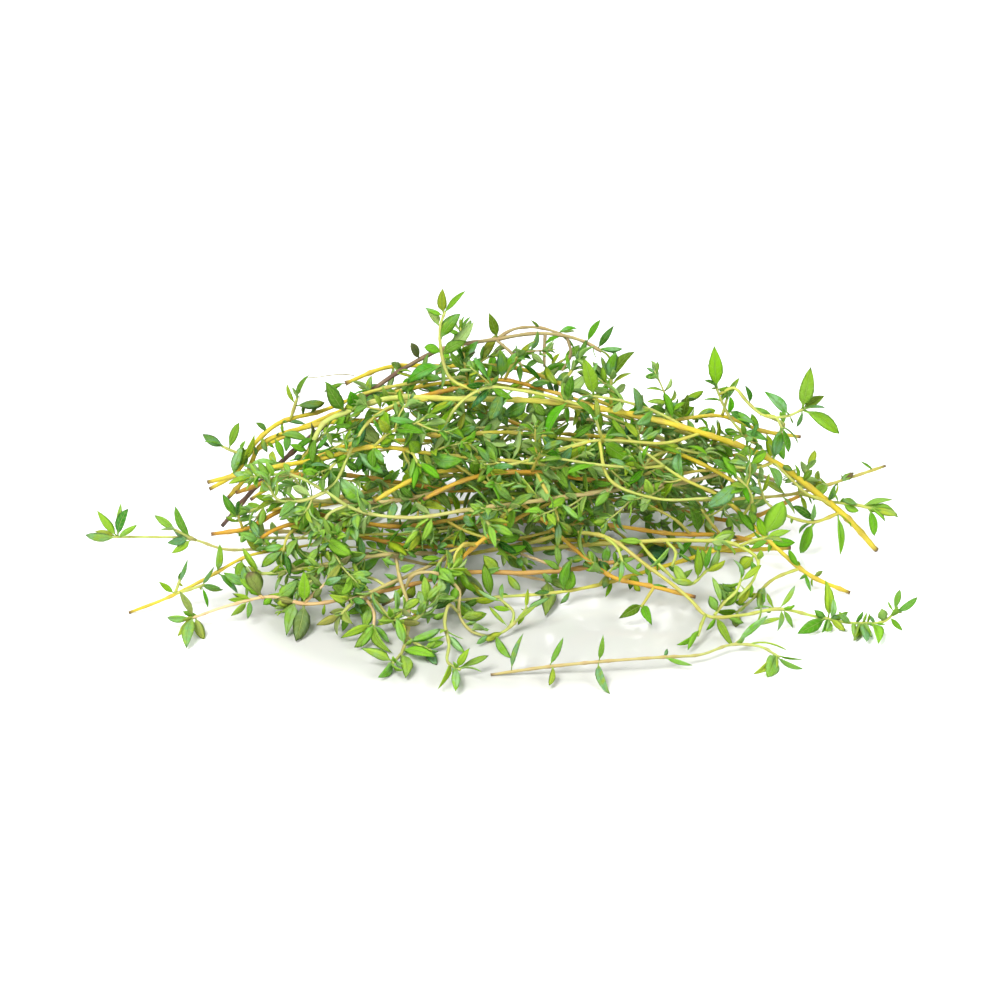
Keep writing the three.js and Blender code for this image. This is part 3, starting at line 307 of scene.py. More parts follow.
barkSurface = {
    "fibreScale": 3, "fibreDetail": 3, "fibreRoughness": 0.65, "fibresAround": 2.2, "fibresAlong": 0.09,
    "patchScale": 130, "greying": (0.4, 0.75), "fibresInGrey": 0.6, "patchInGrey": 0.5,
    "greening": (0.65, 1.25), "patchInGreen": 0.5, "ring": (0.30, 0.15, 0.075), "ringShare": 0.4,
    "ringLeast": 0.4, "roughness": 0.48, "roughFibres": 0.2, "specular": 0.3, "bumpDepth": 0.00012,
    "patchHeight": 0.3,
}


def makeBarkMaterial(name):
    look, surface = barkLooks[name], barkSurface
    material, tree = newMaterial(name + "_stem")
    around, _ = readAttribute(tree, "around")
    _, (share, atPair, atCut) = readAttribute(tree, "growth")
    stretch = (surface["fibresAround"], surface["fibresAround"], surface["fibresAlong"])
    along = addNode(tree, "ShaderNodeVectorMath", {"operation": "MULTIPLY"}, {0: around, 1: stretch})
    fibres = addNoise(tree, along, surface["fibreScale"], surface["fibreDetail"], surface["fibreRoughness"])
    patch = addNoise(tree, objectPlace(tree), surface["patchScale"])
    streaks = fibres * surface["fibresInGrey"] + patch * surface["patchInGrey"]
    greyed = rise(tree, streaks, *surface["greying"])
    greened = rise(tree, share + patch * surface["patchInGreen"], *surface["greening"])
    ringed = atPair * surface["ringShare"] * (surface["ringLeast"] + patch)
    colour = mixColours(tree, greyed, look["old"], look["grey"])
    colour = mixColours(tree, greened, colour, look["green"])
    colour = mixColours(tree, ringed, colour, surface["ring"])
    colour = mixColours(tree, atCut, colour, look["cut"])
    roughness = surface["roughness"] + fibres * surface["roughFibres"]
    height = fibres + patch * surface["patchHeight"]
    finishSurface(tree, colour, roughness, surface["specular"], (height, surface["bumpDepth"]))
    return material


# The sprigs, each with its routes in millimetres. thick and thin are the stem's thickness at its cut end and
# at its tip, bare is the share of it with no leaves, leafy how thickly leaves grow on it and on its shoots,
# and leaves are the tips of the large ones that stand out, with a place near the root where that is needed.
# seen has the small ones that stand out. The first four numbers say where the tip and the root show in the
# camera's view, in thousandths of its width from its left and top edges. Then come how far the leaf lies
# behind its sprig, in millimetres, its width over its length, and "dead" for a dried one.
# Some sprigs are stout, or have narrow large leaves or a share of purple ones.
sprigs = {}
sprigs["great_arch"] = {
    "bark": "straw", "thick": 1.4, "thin": 1, "bare": 0.3, "stout": 1.3, "leafy": (0, 0.25),
    "stem": [(86, 16, 0), (80, 16, 8), (71, 16, 16), (61, 14, 24), (45, 11, 32), (31, 9, 37), (9, 8, 41),
        (-9, 7, 42), (-27, 6, 42), (-34, 4, 40), (-39, 2, 38), (-41, 0, 35)],
    "shoots": [
        [(77, 16, 10), (71, 13, 9), (65, 12, 11), (60, 11, 15), (58, 10, 21)],
        [(75.5, 15.5, 12), (73, 14, 14), (69, 12.5, 16.5), (65.5, 12.5, 20), (61, 14, 24)],
        [(62, 14, 24), (58, 12, 23), (51, 9, 25), (46, 7, 28)],
        [(62, 14, 24), (57, 13, 29), (53, 12, 33), (50, 12, 38), (48, 12, 43)],
        [(49, 12, 41), (52, 11, 43), (55, 10, 40), (59, 9, 37), (64, 9, 37), (68, 9, 39)],
        [(59, 9, 37), (61, 9, 37), (63, 8, 34)],
        [(45, 11, 32), (38, 6, 32), (20, 2, 34), (10, 0, 32)],
        [(23, 2, 34), (22, 0, 37), (21, -1, 41)],
        [(20, 2, 34), (10, -1, 31), (0, -2, 30), (-8, 0, 35)],
        [(22, 2, 33), (24, -2, 27), (34, -2, 22), (47, 0, 21)],
        [(42, 11, 33), (36, 10, 37), (28, 10, 40), (20, 9, 42)],
        [(22, 8, 39), (4, 5, 45), (-3, 4, 46), (-9, 2, 43), (-12, 1, 38), (-9, 1, 30)],
        [(-5, 5, 45), (-11, 6, 47.5), (-13, 7, 54), (-13, 7, 60), (-12, 7, 63)],
        [(-16, 7, 42), (-23, 4, 42), (-29, 1, 39), (-33, -1, 34), (-37, -3, 26), (-43, -5, 23),
         (-50, -6, 23)],
    ],
    "leaves": [((78, 11.5, 1), (76.5, 15.5, 10)), ((47.5, 13, 53.5), (48, 12, 43)),
        ((58.5, 9, 43), (64.5, 9, 37)), ((69, 9, 48), (68, 9, 39)), ((76, 8, 33), (68, 9, 39)),
        ((65, 8, 36.5), (68, 9, 39)), ((54.5, 10, 44), (55.5, 10, 39.5)), ((51, 11, 41), (51, 12, 36)),
        ((61.5, 7, 27.5), (63, 8, 34)), ((65, 8, 28.5), (63, 8, 34)), ((21, -1, 45.5), (21, -1, 41)),
        ((19, 9, 50.5), (20, 9, 42)), ((-12.5, 7, 68.5), (-12, 7, 63)), ((-7.5, 7, 67.5), (-12, 7, 63)),
        ((-16.5, 7, 64), (-12.5, 7, 62)), ((-9.5, 7, 62.5), (-13, 7, 56)), ((-6, 6, 61.5), (-12.5, 7, 53)),
        ((-21, 5.5, 47), (-12, 6.5, 50.5)), ((29.5, 8, 44.5), (31, 9, 37)),
        ((63.5, 11, 18.5), (60, 13, 23.5)), ((51.5, 5, 25), (46, 7, 28)), ((56.5, 10, 34), (50.5, 12, 37)),
        ((60, 10, 30.5), (54, 12, 32)), ((-34, 3, 40.5), (-30, 5, 41))],
    "seen": [(710, 387, 716, 386, 0, 0.4), (735, 388, 718, 387, 0, 0.3), (795, 424, 789, 414, 0, 0.2),
        (812, 470, 803, 480, -1, 0.4), (798, 466, 800, 477, -1, 0.3), (836, 486, 831, 499, -1, 0.3),
        (852, 528, 839, 519, -1, 0.3), (792, 470, 781, 463, -1, 0.5), (755, 422, 732, 414, -1, 0.35),
        (349, 390, 351, 403, -2, 0.5), (326, 383, 341, 406, -2, 0.35), (337, 430, 347, 414, -2, 0.4),
        (344, 424, 352, 412, -2, 0.35), (361, 435, 350, 447, -2, 0.4), (833, 486, 830, 499, -1, 0.4),
        (792, 523, 789, 515, 0, 0.6), (817, 505, 812, 520, -1, 0.3), (463, 341, 442, 357, -1, 0.45),
        (425, 347, 440, 352, -1, 0.6), (347, 405, 370, 403, -2, 0.75), (439, 411, 455, 399, -2, 0.4),
        (487, 413, 470, 402, -2, 0.35), (489, 421, 502, 394, -3, 0.35), (441, 433, 450, 448, -1, 0.35),
        (547, 455, 560, 447, -1, 0.6), (545, 416, 533, 407, 0, 0.5), (385, 396, 398, 402, 0, 0.4),
        (362, 425, 375, 418, -1, 0.4), (360, 470, 348, 462, -1, 0.5), (503, 416, 530, 407, -1, 0.5),
        (489, 418, 513, 394, -2, 0.3), (514, 398, 490, 392, 0, 0.35), (529, 398, 548, 403, 1, 0.35),
        (524, 412, 540, 408, 1, 0.5), (440, 414, 458, 398, -1, 0.3), (553, 398, 566, 404, 1, 0.35),
        (545, 418, 565, 412, 1, 0.35)],
}
sprigs["left_straw"] = {
    "bark": "straw", "thick": 1.45, "thin": 0.75, "bare": 0.3, "leafy": (0.7, 0.9),
    "stem": [(-65, 2, 24), (-53, 0, 28), (-40, -1, 31), (-28, -1, 34), (-15, 0, 32), (0, 1, 30),
        (13, 2, 28), (28, 4, 27)],
    "shoots": [
        [(-28, -1, 34), (-24, -2, 38), (-19, -2, 40), (-15, -1, 42)],
        [(-21, 0, 33), (-19, -3, 33), (-18, -5, 31)],
        [(-45, -1, 30), (-41, 1, 34), (-37, 2, 38)],
        [(-34, -1, 33), (-37, -3, 30), (-40, -5, 27)],
    ],
    "seen": [(293, 444, 310, 453, -2, 0.35), (244, 466, 258, 470, -1, 0.35), (243, 475, 255, 474, -2, 0.5),
        (327, 463, 302, 464, -2, 0.35), (330, 472, 306, 465, -2, 0.6), (372, 470, 374, 450, -2, 0.5),
        (385, 462, 374, 450, -2, 0.35), (395, 435, 378, 446, -2, 0.35), (389, 420, 419, 426, -2, 0.25),
        (380, 419, 388, 432, -1, 0.5), (392, 440, 378, 446, -1, 0.45), (410, 440, 420, 450, -2, 0.7),
        (413, 474, 416, 454, -2, 0.5), (433, 470, 422, 454, -2, 0.35), (453, 464, 428, 456, -2, 0.35),
        (460, 450, 470, 459, -1, 0.6), (477, 478, 474, 460, -1, 0.45), (489, 476, 480, 460, -1, 0.3),
        (313, 470, 330, 464, -1, 0.6), (295, 459, 302, 453, -1, 0.6), (330, 447, 318, 438, -1, 0.35),
        (345, 455, 332, 462, -1, 0.4)],
}
sprigs["left_upper_arch"] = {
    "bark": "straw", "thick": 1.4, "thin": 0.75, "bare": 0.25, "leafy": (0.15, 0),
    "stem": [(-65, 7, 20), (-59, 7, 24), (-55, 9, 30), (-50, 11, 34), (-40, 14, 36), (-29, 18, 39),
        (-16, 22, 40), (-5, 25, 40)],
    "shoots": [
        [(-47, 12, 35), (-45, 11, 41)],
        [(-55, 9, 29), (-58, 7, 29), (-62, 6, 31)],
    ],
    "leaves": [((-46.5, 11.5, 43), (-45.5, 11.5, 39)), ((-39, 12.5, 39), (-46, 11.5, 38.5)),
        ((-58, 6.5, 36.5), (-60.5, 6.5, 30)), ((-56.5, 9, 31.5), (-57.5, 8, 26.5)),
        ((-58, 6, 30.5), (-59.5, 7, 23.5))],
    "seen": [(244, 467, 252, 455, -2, 0.3), (256, 423, 266, 431, 0, 0.4), (268, 452, 262, 437, -2, 0.35),
        (282, 434, 283, 420, -1, 0.3), (287, 422, 285, 432, -2, 0.3), (303, 404, 303, 414, 0, 0.35),
        (327, 383, 339, 402, -3, 0.3), (324, 402, 309, 410, -1, 0.2), (246, 440, 242, 456, -1, 0.25),
        (243, 449, 234, 464, -1, 0.55), (255, 457, 252, 444, -1, 0.3), (405, 392, 418, 385, 0, 0.4)],
}
sprigs["left_low_arch"] = {
    "bark": "straw", "thick": 1.45, "thin": 0.8, "bare": 0.3, "leafy": (0.7, 1),
    "stem": [(-61, 9, 17), (-57, 9, 22), (-54, 10, 29), (-43, 12, 33), (-30, 13, 34), (-16, 10, 32),
        (2, 9, 33), (18, 9, 31), (34, 10, 29), (46, 11, 26)],
    "shoots": [
        [(-34, 13, 34), (-31, 10, 31), (-30, 7, 29)],
    ],
    "seen": [(277, 432, 280, 443, -2, 0.35), (307, 438, 282, 442, -2, 0.28), (286, 452, 296, 447, -2, 0.4),
        (273, 447, 275, 458, -1, 0.35), (284, 459, 280, 447, -2, 0.3), (343, 419, 352, 432, -2, 0.5),
        (399, 435, 396, 421, -1, 0.5), (546, 430, 559, 440, -1, 0.6), (533, 433, 520, 444, -1, 0.3)],
}
sprigs["dark_stem"] = {
    "bark": "dark", "thick": 1.4, "thin": 0.8, "bare": 0.5, "leafy": (0.15, 0.22),
    "stem": [(-63, 13, 8), (-54, 13, 19), (-44, 15, 28), (-34, 18, 35), (-23, 22, 42), (-14, 25, 46),
        (-1, 27, 48), (10, 28, 49), (19, 28, 47), (23, 27, 45)],
    "shoots": [
        [(-1, 27, 48), (3, 28, 50), (9, 29, 50), (14, 30, 48)],
        [(-1, 27, 48), (3, 25, 45), (5, 23, 43)],
        [(10, 28, 48), (10, 26, 46), (10, 23, 43)],
        [(15, 28, 47), (16, 26, 45), (14, 23, 42)],
    ],
    "leaves": [((22.5, 29, 52), (19.5, 28, 46.5)), ((25, 27, 51), (22, 27, 45.5)),
        ((27.5, 27, 46.5), (23, 27, 45)), ((17.5, 31, 49), (14, 30, 48)), ((7.5, 29, 51.5), (9, 29, 50)),
        ((23.5, 26.5, 44), (21, 27.5, 46)), ((-2.5, 27, 54.5), (-0.5, 27, 48))],
    "seen": [(472, 320, 460, 341, -1, 0.3), (559, 335, 547, 346, 0, 0.3), (556, 362, 546, 351, 0, 0.35),
        (411, 343, 418, 356, -1, 0.4, "dead"), (370, 376, 371, 396, -1, 0.35)],
}
sprigs["short_brown_end"] = {
    "bark": "brown", "thick": 1.4, "thin": 0.75, "bare": 0.2,
    "stem": [(-59, 5, 20), (-48, 5, 24), (-36, 6, 24), (-22, 6, 22), (-9, 6, 20), (4, 7, 21), (16, 8, 22)],
    "shoots": [
        [(-22, 6, 22), (-18, 1, 20), (-17, -2, 20)],
    ],
}
sprigs["left_orange"] = {
    "bark": "brown", "thick": 1.4, "thin": 0.75, "bare": 0.2, "leafy": (0.6, 0.8),
    "stem": [(-64, -6, 15), (-56, -5, 16), (-48, -2, 19), (-36, 0, 16), (-22, 0, 14), (-12, 1, 15),
        (0, 3, 17), (13, 5, 19), (26, 7, 20)],
    "shoots": [
        [(-57, -5, 16), (-58, -6, 20)],
        [(-12, 1, 15), (-7, -3, 14), (0, -5, 13)],
    ],
}
sprigs["left_low_orange"] = {
    "bark": "brown", "thick": 1.3, "thin": 0.75, "bare": 0.1, "leafy": (0.7, 0.8),
    "stem": [(-54, -8, 14), (-50, -6, 16), (-40, -2, 16), (-31, -2, 13), (-18, -3, 10), (-4, -2, 11),
        (9, 0, 12), (20, 2, 15)],
    "shoots": [
        [(-4, -2, 11), (-8, -6, 12), (-12, -8, 11), (-14, -10, 9)],
        [(-44, -4, 17), (-47, -7, 15), (-48, -10, 12)],
    ],
}
sprigs["far_left_straw"] = {
    "bark": "straw", "thick": 1, "thin": 0.7, "bare": 0.1, "leafy": (0, 0), "narrow": 0.7,
    "stem": [(-82, -15.5, 0), (-74, -14, 3), (-65, -12, 7), (-56, -9, 11), (-44, -6, 12), (-32, -3, 13),
        (-18, 0, 12), (-4, 2, 13)],
    "shoots": [
        [(-72, -13, 4), (-70.5, -13, 7.5)],
        [(-72, -13, 4), (-65, -14, 6.5)],
    ],
    "leaves": [((-69, -13, 12), (-70.5, -13, 7.5)), ((-61, -14, 5), (-65, -14, 6.5)),
        ((-64.5, -15, 1.5), (-65.5, -14, 6.5))],
    "seen": [(158, 582, 170, 590, 0, 0.35), (182, 587, 181, 578, -1, 0.45), (202, 591, 204, 588, 0, 0.45),
        (181, 573, 180, 580, 0, 0.5), (247, 541, 265, 563, -1, 0.35), (277, 542, 268, 556, 0, 0.5),
        (236, 580, 241, 557, -1, 0.5), (277, 549, 302, 547, -1, 0.3)],
}
sprigs["far_left_tip"] = {
    "bark": "pale", "thick": 1, "thin": 0.7, "bare": 0.1, "leafy": (0, 0), "narrow": 0.85,
    "stem": [(-16, 1, 4), (-27, 0, 7), (-40, 0, 7), (-52, 1, 8), (-62, 1, 8), (-69, 2, 10), (-78, 2, 10.5),
        (-86.5, 2, 10.5)],
    "shoots": [
        [(-68, 2, 10), (-73, 1, 13)],
        [(-40, 0, 7), (-43, -4, 7), (-47, -8, 7)],
    ],
    "leaves": [((-93, 2, 11), (-86.5, 2, 10.5)), ((-90, 2.5, 17), (-86, 2, 10.5)),
        ((-84.5, 3, 18), (-86.5, 2, 10.5)), ((-82.5, 1, 15), (-86, 2, 10.5)),
        ((-72.5, 2, 18), (-69, 2, 10.5)), ((-74, 1, 7), (-69, 2, 10))],
    "seen": [(171, 530, 192, 537, 1, 0.3), (168, 543, 190, 540, -1, 0.4), (129, 509, 118, 535, 0, 0.35),
        (290, 573, 315, 562, -1, 0.5), (296, 550, 315, 559, -1, 0.4), (330, 550, 318, 560, 0, 0.3)],
}
sprigs["low_left_runner"] = {
    "bark": "rosy", "thick": 1.4, "thin": 0.7, "bare": 0.2, "leafy": (0.2, 0.15), "purple": 0.3,
    "stem": [(32, 0, 7), (20, -4, 6), (7, -7, 6), (-7, -9, 7), (-22, -13, 5.5), (-34, -18, 5),
        (-43, -20.5, 5), (-50, -18, 5.5), (-59, -20, 4.5), (-68, -24, 3)],
    "shoots": [
        [(24, -3, 6), (19, 0, 7), (14, 2, 8)],
        [(14, -5, 6), (9, -3, 7), (4, -1, 8)],
        [(2, -8, 6), (6, -5, 4), (11, -3, 2)],
        [(-30.5, -16, 5), (-28.5, -20, 5), (-27.5, -24, 4.5), (-27.5, -28, 3)],
        [(-43, -20, 5), (-40, -20, 8), (-38, -20, 10)],
        [(-52, -18, 5.5), (-56, -16, 8)],
    ],
    "leaves": [((-70, -22.5, 9), (-67, -23.5, 3)), ((-68, -33.5, 1), (-67, -23.5, 3)),
        ((-65.5, -28, 1), (-66.5, -23.5, 3)), ((-60, -19, 3), (-55.5, -19, 5)),
        ((-57, -20, 1.5), (-55, -19, 5)), ((-46.5, -27.5, 1), (-45, -20, 5)),
        ((-44.5, -31.5, 1), (-43, -20.5, 5)), ((-43, -20, 12.5), (-43, -20, 5)),
        ((-34.5, -30, 1), (-27.5, -27.5, 3)), ((-31.5, -34, 1), (-27.5, -28, 3)),
        ((-24, -36, 1), (-27.5, -28, 3)), ((10, -7.5, 9), (13.5, -5.5, 6)),
        ((4.5, -9, 2.5), (1.5, -8, 6.5)), ((-2, -10.5, 3), (-3.5, -8.5, 7))],
    "seen": [(183, 612, 196, 615, 1, 0.35), (182, 620, 196, 616, -1, 0.4), (231, 594, 250, 600, 1, 0.25),
        (228, 600, 249, 600, 1, 0.25), (362, 646, 373, 627, 0, 0.3), (277, 598, 296, 604, 0, 0.5),
        (572, 560, 562, 576, -2, 0.35), (553, 584, 541, 574, -1, 0.4), (477, 586, 466, 573, -2, 0.3),
        (500, 567, 483, 572, -2, 0.35), (546, 614, 561, 590, -3, 0.25), (456, 588, 452, 598, -2, 0.5),
        (485, 593, 468, 580, -2, 0.35), (264, 604, 272, 596, -1, 0.7), (277, 603, 293, 604, -1, 0.6),
        (281, 613, 297, 607, -2, 0.3), (322, 618, 324, 605, -1, 0.25), (339, 596, 345, 604, -1, 0.35),
        (332, 585, 350, 595, 1, 0.5), (368, 579, 350, 590, 0, 0.3), (366, 627, 371, 606, -1, 0.5),
        (310, 590, 322, 600, 1, 0.35), (436, 568, 426, 578, -1, 0.3), (408, 598, 414, 583, -1, 0.6),
        (424, 572, 421, 589, -1, 0.3), (462, 597, 468, 580, -1, 0.55), (477, 586, 469, 569, -1, 0.25),
        (542, 576, 553, 584, 0, 0.35), (485, 556, 499, 568, -1, 0.5), (556, 545, 561, 563, 0, 0.3),
        (597, 557, 580, 562, 0, 0.4), (240, 580, 264, 584, -1, 0.35), (249, 575, 267, 589, -2, 0.55),
        (246, 587, 262, 595, -1, 0.5), (297, 580, 275, 590, 0, 0.5), (311, 577, 325, 588, -1, 0.35),
        (311, 587, 326, 585, 0, 0.5), (312, 599, 326, 590, -1, 0.45), (345, 607, 339, 597, -1, 0.5),
        (234, 595, 252, 597, 0, 0.25), (624, 568, 612, 561, -1, 0.35)],
}
sprigs["pink_curl"] = {
    "bark": "pale", "thick": 1, "thin": 0.7, "bare": 0.2, "leafy": (0.15, 0.1), "narrow": 0.55,
    "stem": [(-26, -13, 1), (-22, -14, 5), (-19, -16, 10), (-15, -17, 11), (-9, -18, 7), (-9, -21, 3),
        (-6, -26, 1), (-2, -28, 1), (2, -26, 2), (3, -23, 4), (0, -20, 6)],
    "shoots": [
        [(2, -26, 2), (4, -24, 3), (6, -22, 5)],
        [(-9, -21, 3), (-11, -23, 6), (-12, -28, 5), (-11, -36, 3), (-11, -43, 2), (-8.5, -46, 2)],
    ],
    "leaves": [((-13.5, -57, 1), (-10.5, -43.5, 2)), ((-9.5, -55, 1), (-9, -45.5, 2)),
        ((-6.5, -50.5, 1), (-8.5, -46, 2)), ((-2.5, -44, 3.5), (-8.5, -46, 2)),
        ((-16.5, -34, 1), (-11.5, -33, 4)), ((2, -41.5, 1), (-1, -27.5, 1.5)),
        ((8.5, -24, 6.5), (3, -25, 2.5)), ((-2.5, -25, 6.5), (2, -26, 2))],
    "seen": [(466, 652, 450, 633, 0, 0.3), (453, 661, 466, 668, 0, 0.4), (469, 650, 462, 669, 0, 0.3),
        (478, 643, 492, 637, 0, 0.3), (485, 616, 470, 612, -2, 0.45), (476, 621, 460, 628, 1, 0.3),
        (508, 611, 492, 607, 1, 0.3), (455, 683, 452, 668, 1, 0.2), (440, 571, 455, 583, -1, 0.6),
        (372, 597, 395, 601, -1, 0.5), (486, 616, 470, 611, -1, 0.4), (477, 622, 460, 627, 0, 0.3),
        (433, 620, 445, 612, -1, 0.5), (452, 600, 456, 587, -2, 0.6), (518, 625, 537, 609, -2, 0.35),
        (520, 610, 536, 607, 0, 0.3), (492, 607, 510, 612, 0, 0.3), (511, 628, 510, 614, 0, 0.4),
        (486, 640, 503, 632, -1, 0.35)],
}
sprigs["left_leafy_low"] = {
    "bark": "pale", "thick": 1.2, "thin": 0.75, "bare": 0.1, "leafy": (0.75, 0.9), "purple": 0.15,
    "stem": [(-14, -2, 9), (-27, -6, 10), (-39, -9, 9), (-49, -11, 8), (-57, -12, 8)],
    "shoots": [
        [(-33, -7, 9), (-35, -10, 14), (-36, -11, 18)],
        [(-45, -10, 8), (-50, -8, 12), (-54, -8, 15)],
        [(-39, -9, 9), (-42, -14, 7), (-46, -17, 6)],
    ],
    "seen": [(249, 567, 266, 579, -1, 0.3), (281, 565, 272, 579, -1, 0.3), (318, 572, 332, 560, -1, 0.5),
        (366, 554, 346, 561, -1, 0.55), (280, 552, 292, 560, 0, 0.45)],
}
sprigs["left_leafy_mid"] = {
    "bark": "pale", "thick": 1.2, "thin": 0.75, "bare": 0.1, "leafy": (0.75, 1),
    "stem": [(-10, 3, 22), (-24, 0, 20), (-37, -2, 21), (-48, -3, 22), (-56, -3, 19)],
    "shoots": [
        [(-30, -1, 20), (-35, -5, 17), (-40, -7, 17)],
        [(-43, -3, 22), (-46, 1, 26), (-50, 3, 28)],
    ],
    "seen": [(269, 465, 277, 457, -1, 0.4)],
}
sprigs["front_leafy"] = {
    "bark": "pale", "thick": 1.2, "thin": 0.75, "bare": 0.1, "leafy": (0.5, 0.45), "purple": 0.12,
    "stem": [(-12, -6, 9), (-20, -12, 8), (-27, -17, 6.5), (-33, -22, 5), (-35, -25, 4)],
    "shoots": [
        [(-20, -12, 8), (-25, -14, 5), (-29, -17, 3)],
        [(-24, -17, 6), (-28, -14, 8), (-33, -13, 8)],
        [(-27, -20, 5), (-24, -25, 4), (-22, -29, 5)],
    ],
    "leaves": [((-37.5, -22.5, 3.5), (-33.5, -22.5, 5)), ((-35, -24.5, 1), (-33.5, -22.5, 5))],
    "seen": [(378, 588, 399, 582, -1, 0.3), (384, 575, 401, 579, -1, 0.35)],
}
sprigs["front_clump"] = {
    "bark": "pale", "thick": 1.1, "thin": 0.75, "bare": 0.3, "leafy": (0.35, 0.35),
    "stem": [(-23, -10, 11), (-22, -14, 8), (-20, -20, 4), (-20, -26, 2), (-21, -35, 1), (-23, -43, 2)],
    "shoots": [
        [(-20, -26, 2), (-17, -25, 5), (-16, -24, 8)],
        [(-20, -30, 1), (-18, -32, 1), (-15, -35, 1)],
    ],
    "leaves": [((-30, -41, 4.5), (-22.5, -42, 2)), ((-15, -40.5, 1), (-21, -35, 1)),
        ((-22.5, -31, 7), (-21, -33, 1)), ((-15.5, -31, 1), (-20.5, -32, 1.5)),
        ((-26, -48, 1), (-23, -43, 2)), ((-20.5, -47, 1), (-21.5, -37.5, 1.5))],
    "seen": [(402, 622, 404, 643, 1, 0.35), (412, 652, 404, 650, 0, 0.4), (414, 637, 404, 645, 0, 0.35),
        (381, 559, 400, 566, -1, 0.3), (416, 564, 401, 574, -1, 0.4), (394, 600, 404, 588, -1, 0.5),
        (418, 619, 428, 606, 0, 0.5), (409, 613, 405, 600, -1, 0.6)],
}
sprigs["front_runner"] = {
    "bark": "pale", "thick": 0.9, "thin": 0.7, "bare": 0.05, "leafy": (0, 0), "narrow": 0.52,
    "stem": [(-2, -45, 0), (10.5, -44.5, 2), (22, -44, 3), (35, -42, 3), (43, -39, 2), (51, -34, 2),
        (56, -35, 2), (60, -40, 2)],
    "shoots": [
        [(51, -34, 2), (56, -30, 5)],
    ],
    "leaves": [((5, -45, 10), (2.5, -45, 0.5)), ((13.5, -44.5, 8.5), (10.5, -44.5, 2)),
        ((10.5, -51.5, 1), (11, -44.5, 2)), ((22, -44, 9.5), (21.5, -44, 3)),
        ((22.5, -55, 1), (21.5, -44, 3)), ((41, -44, 1.5), (35, -42, 3)), ((58, -32, 8), (51, -34, 2)),
        ((64, -44.5, 1), (60, -40, 2)), ((52.5, -50, 1), (59, -38.5, 2)),
        ((60, -35.5, 1), (53.5, -34.5, 2))],
    "seen": [(668, 648, 664, 656, 1, 0.45), (745, 637, 736, 643, 0, 0.35), (771, 674, 773, 660, 0, 0.5)],
}
sprigs["right_runner"] = {
    "bark": "olive", "thick": 1.2, "thin": 0.7, "bare": 0.1, "leafy": (0, 0), "narrow": 0.75,
    "stem": [(-7, 4, 5), (7, 0, 10), (17, -3, 14), (23, -5, 14), (32, -11, 10), (42, -19, 5), (45, -22, 3),
        (53, -22, 3), (61, -21, 4), (70, -21, 2), (79, -22, 1), (85, -22, 2), (87, -21, 4)],
    "shoots": [
        [(23, -5, 14), (26, -9, 13), (27, -12, 11)],
        [(45, -22, 3), (44, -26, 3), (43, -30, 2)],
        [(47, -22, 3), (49, -20, 5), (52, -18, 7), (53, -16, 9)],
    ],
    "leaves": [((88, -26, 1), (85.5, -22, 2.5)), ((85.5, -20, 5), (86.5, -21, 3.5)),
        ((41, -35, 1), (43.5, -28, 2.5)), ((71.5, -19, 10), (72, -21, 2)), ((79.5, -32, 1), (79.5, -22, 1)),
        ((64, -29, 1), (71.5, -21, 2)), ((53.5, -20, 1.5), (60, -21, 4)), ((65, -19, 8.5), (61, -21, 4)),
        ((58.5, -19, 7), (60.5, -21, 4)), ((50, -33, 1), (47.5, -22, 3)),
        ((46.5, -19.5, 11), (48.5, -20.5, 4.5)), ((82, -32, 1), (80.5, -22, 1))],
    "seen": [(710, 597, 720, 611, 1, 0.35), (707, 630, 717, 618, -1, 0.3), (745, 623, 729, 616, -1, 0.35),
        (780, 629, 781, 611, -1, 0.25), (792, 627, 782, 611, -1, 0.25), (796, 605, 782, 609, 1, 0.3),
        (817, 612, 828, 618, 0, 0.4), (844, 629, 832, 620, -1, 0.35), (848, 613, 832, 619, 1, 0.35),
        (826, 631, 828, 620, -1, 0.35), (855, 637, 858, 625, -1, 0.3), (863, 611, 857, 624, 1, 0.3),
        (869, 614, 868, 626, 0, 0.3), (904, 613, 897, 612, 0, 0.2), (898, 606, 896, 612, 0, 0.35),
        (881, 610, 890, 620, 1, 0.35), (816, 612, 826, 619, -1, 0.5), (848, 616, 830, 616, -1, 0.35),
        (838, 611, 853, 621, -1, 0.3), (864, 611, 857, 622, 0, 0.35), (868, 614, 864, 625, 0, 0.3),
        (870, 616, 874, 624, 0, 0.4), (881, 609, 882, 622, -1, 0.7), (897, 606, 890, 616, -1, 0.45),
        (904, 612, 896, 609, 0, 0.2), (886, 625, 874, 624, -1, 0.25), (873, 636, 863, 628, -1, 0.4),
        (859, 639, 861, 628, 0, 0.3), (856, 637, 853, 627, -1, 0.5), (843, 630, 830, 623, -1, 0.35),
        (826, 631, 827, 622, -1, 0.45), (834, 598, 831, 616, 0, 0.25), (722, 590, 726, 600, -1, 0.4),
        (710, 597, 718, 612, -1, 0.5), (726, 587, 745, 575, -1, 0.3), (721, 605, 740, 590, -1, 0.45),
        (766, 613, 770, 602, 0, 0.5), (795, 606, 783, 609, -1, 0.35), (650, 577, 647, 563, -1, 0.4),
        (636, 570, 645, 562, -1, 0.5)],
}
sprigs["orange_diagonal"] = {
    "bark": "brown", "thick": 1.3, "thin": 0.75, "bare": 0.25, "leafy": (0.4, 0),
    "stem": [(43, -17, 5), (34, -14, 6), (25, -11, 7), (17, -6, 11), (8, -4, 19), (0, -2, 24), (-7, 0, 28),
        (-13, 2, 31)],
    "shoots": [
        [(34, -14, 6), (31, -20, 4)],
    ],
    "seen": [(641, 591, 635, 580, -1, 0.55), (668, 587, 650, 583, -1, 0.35)],
}
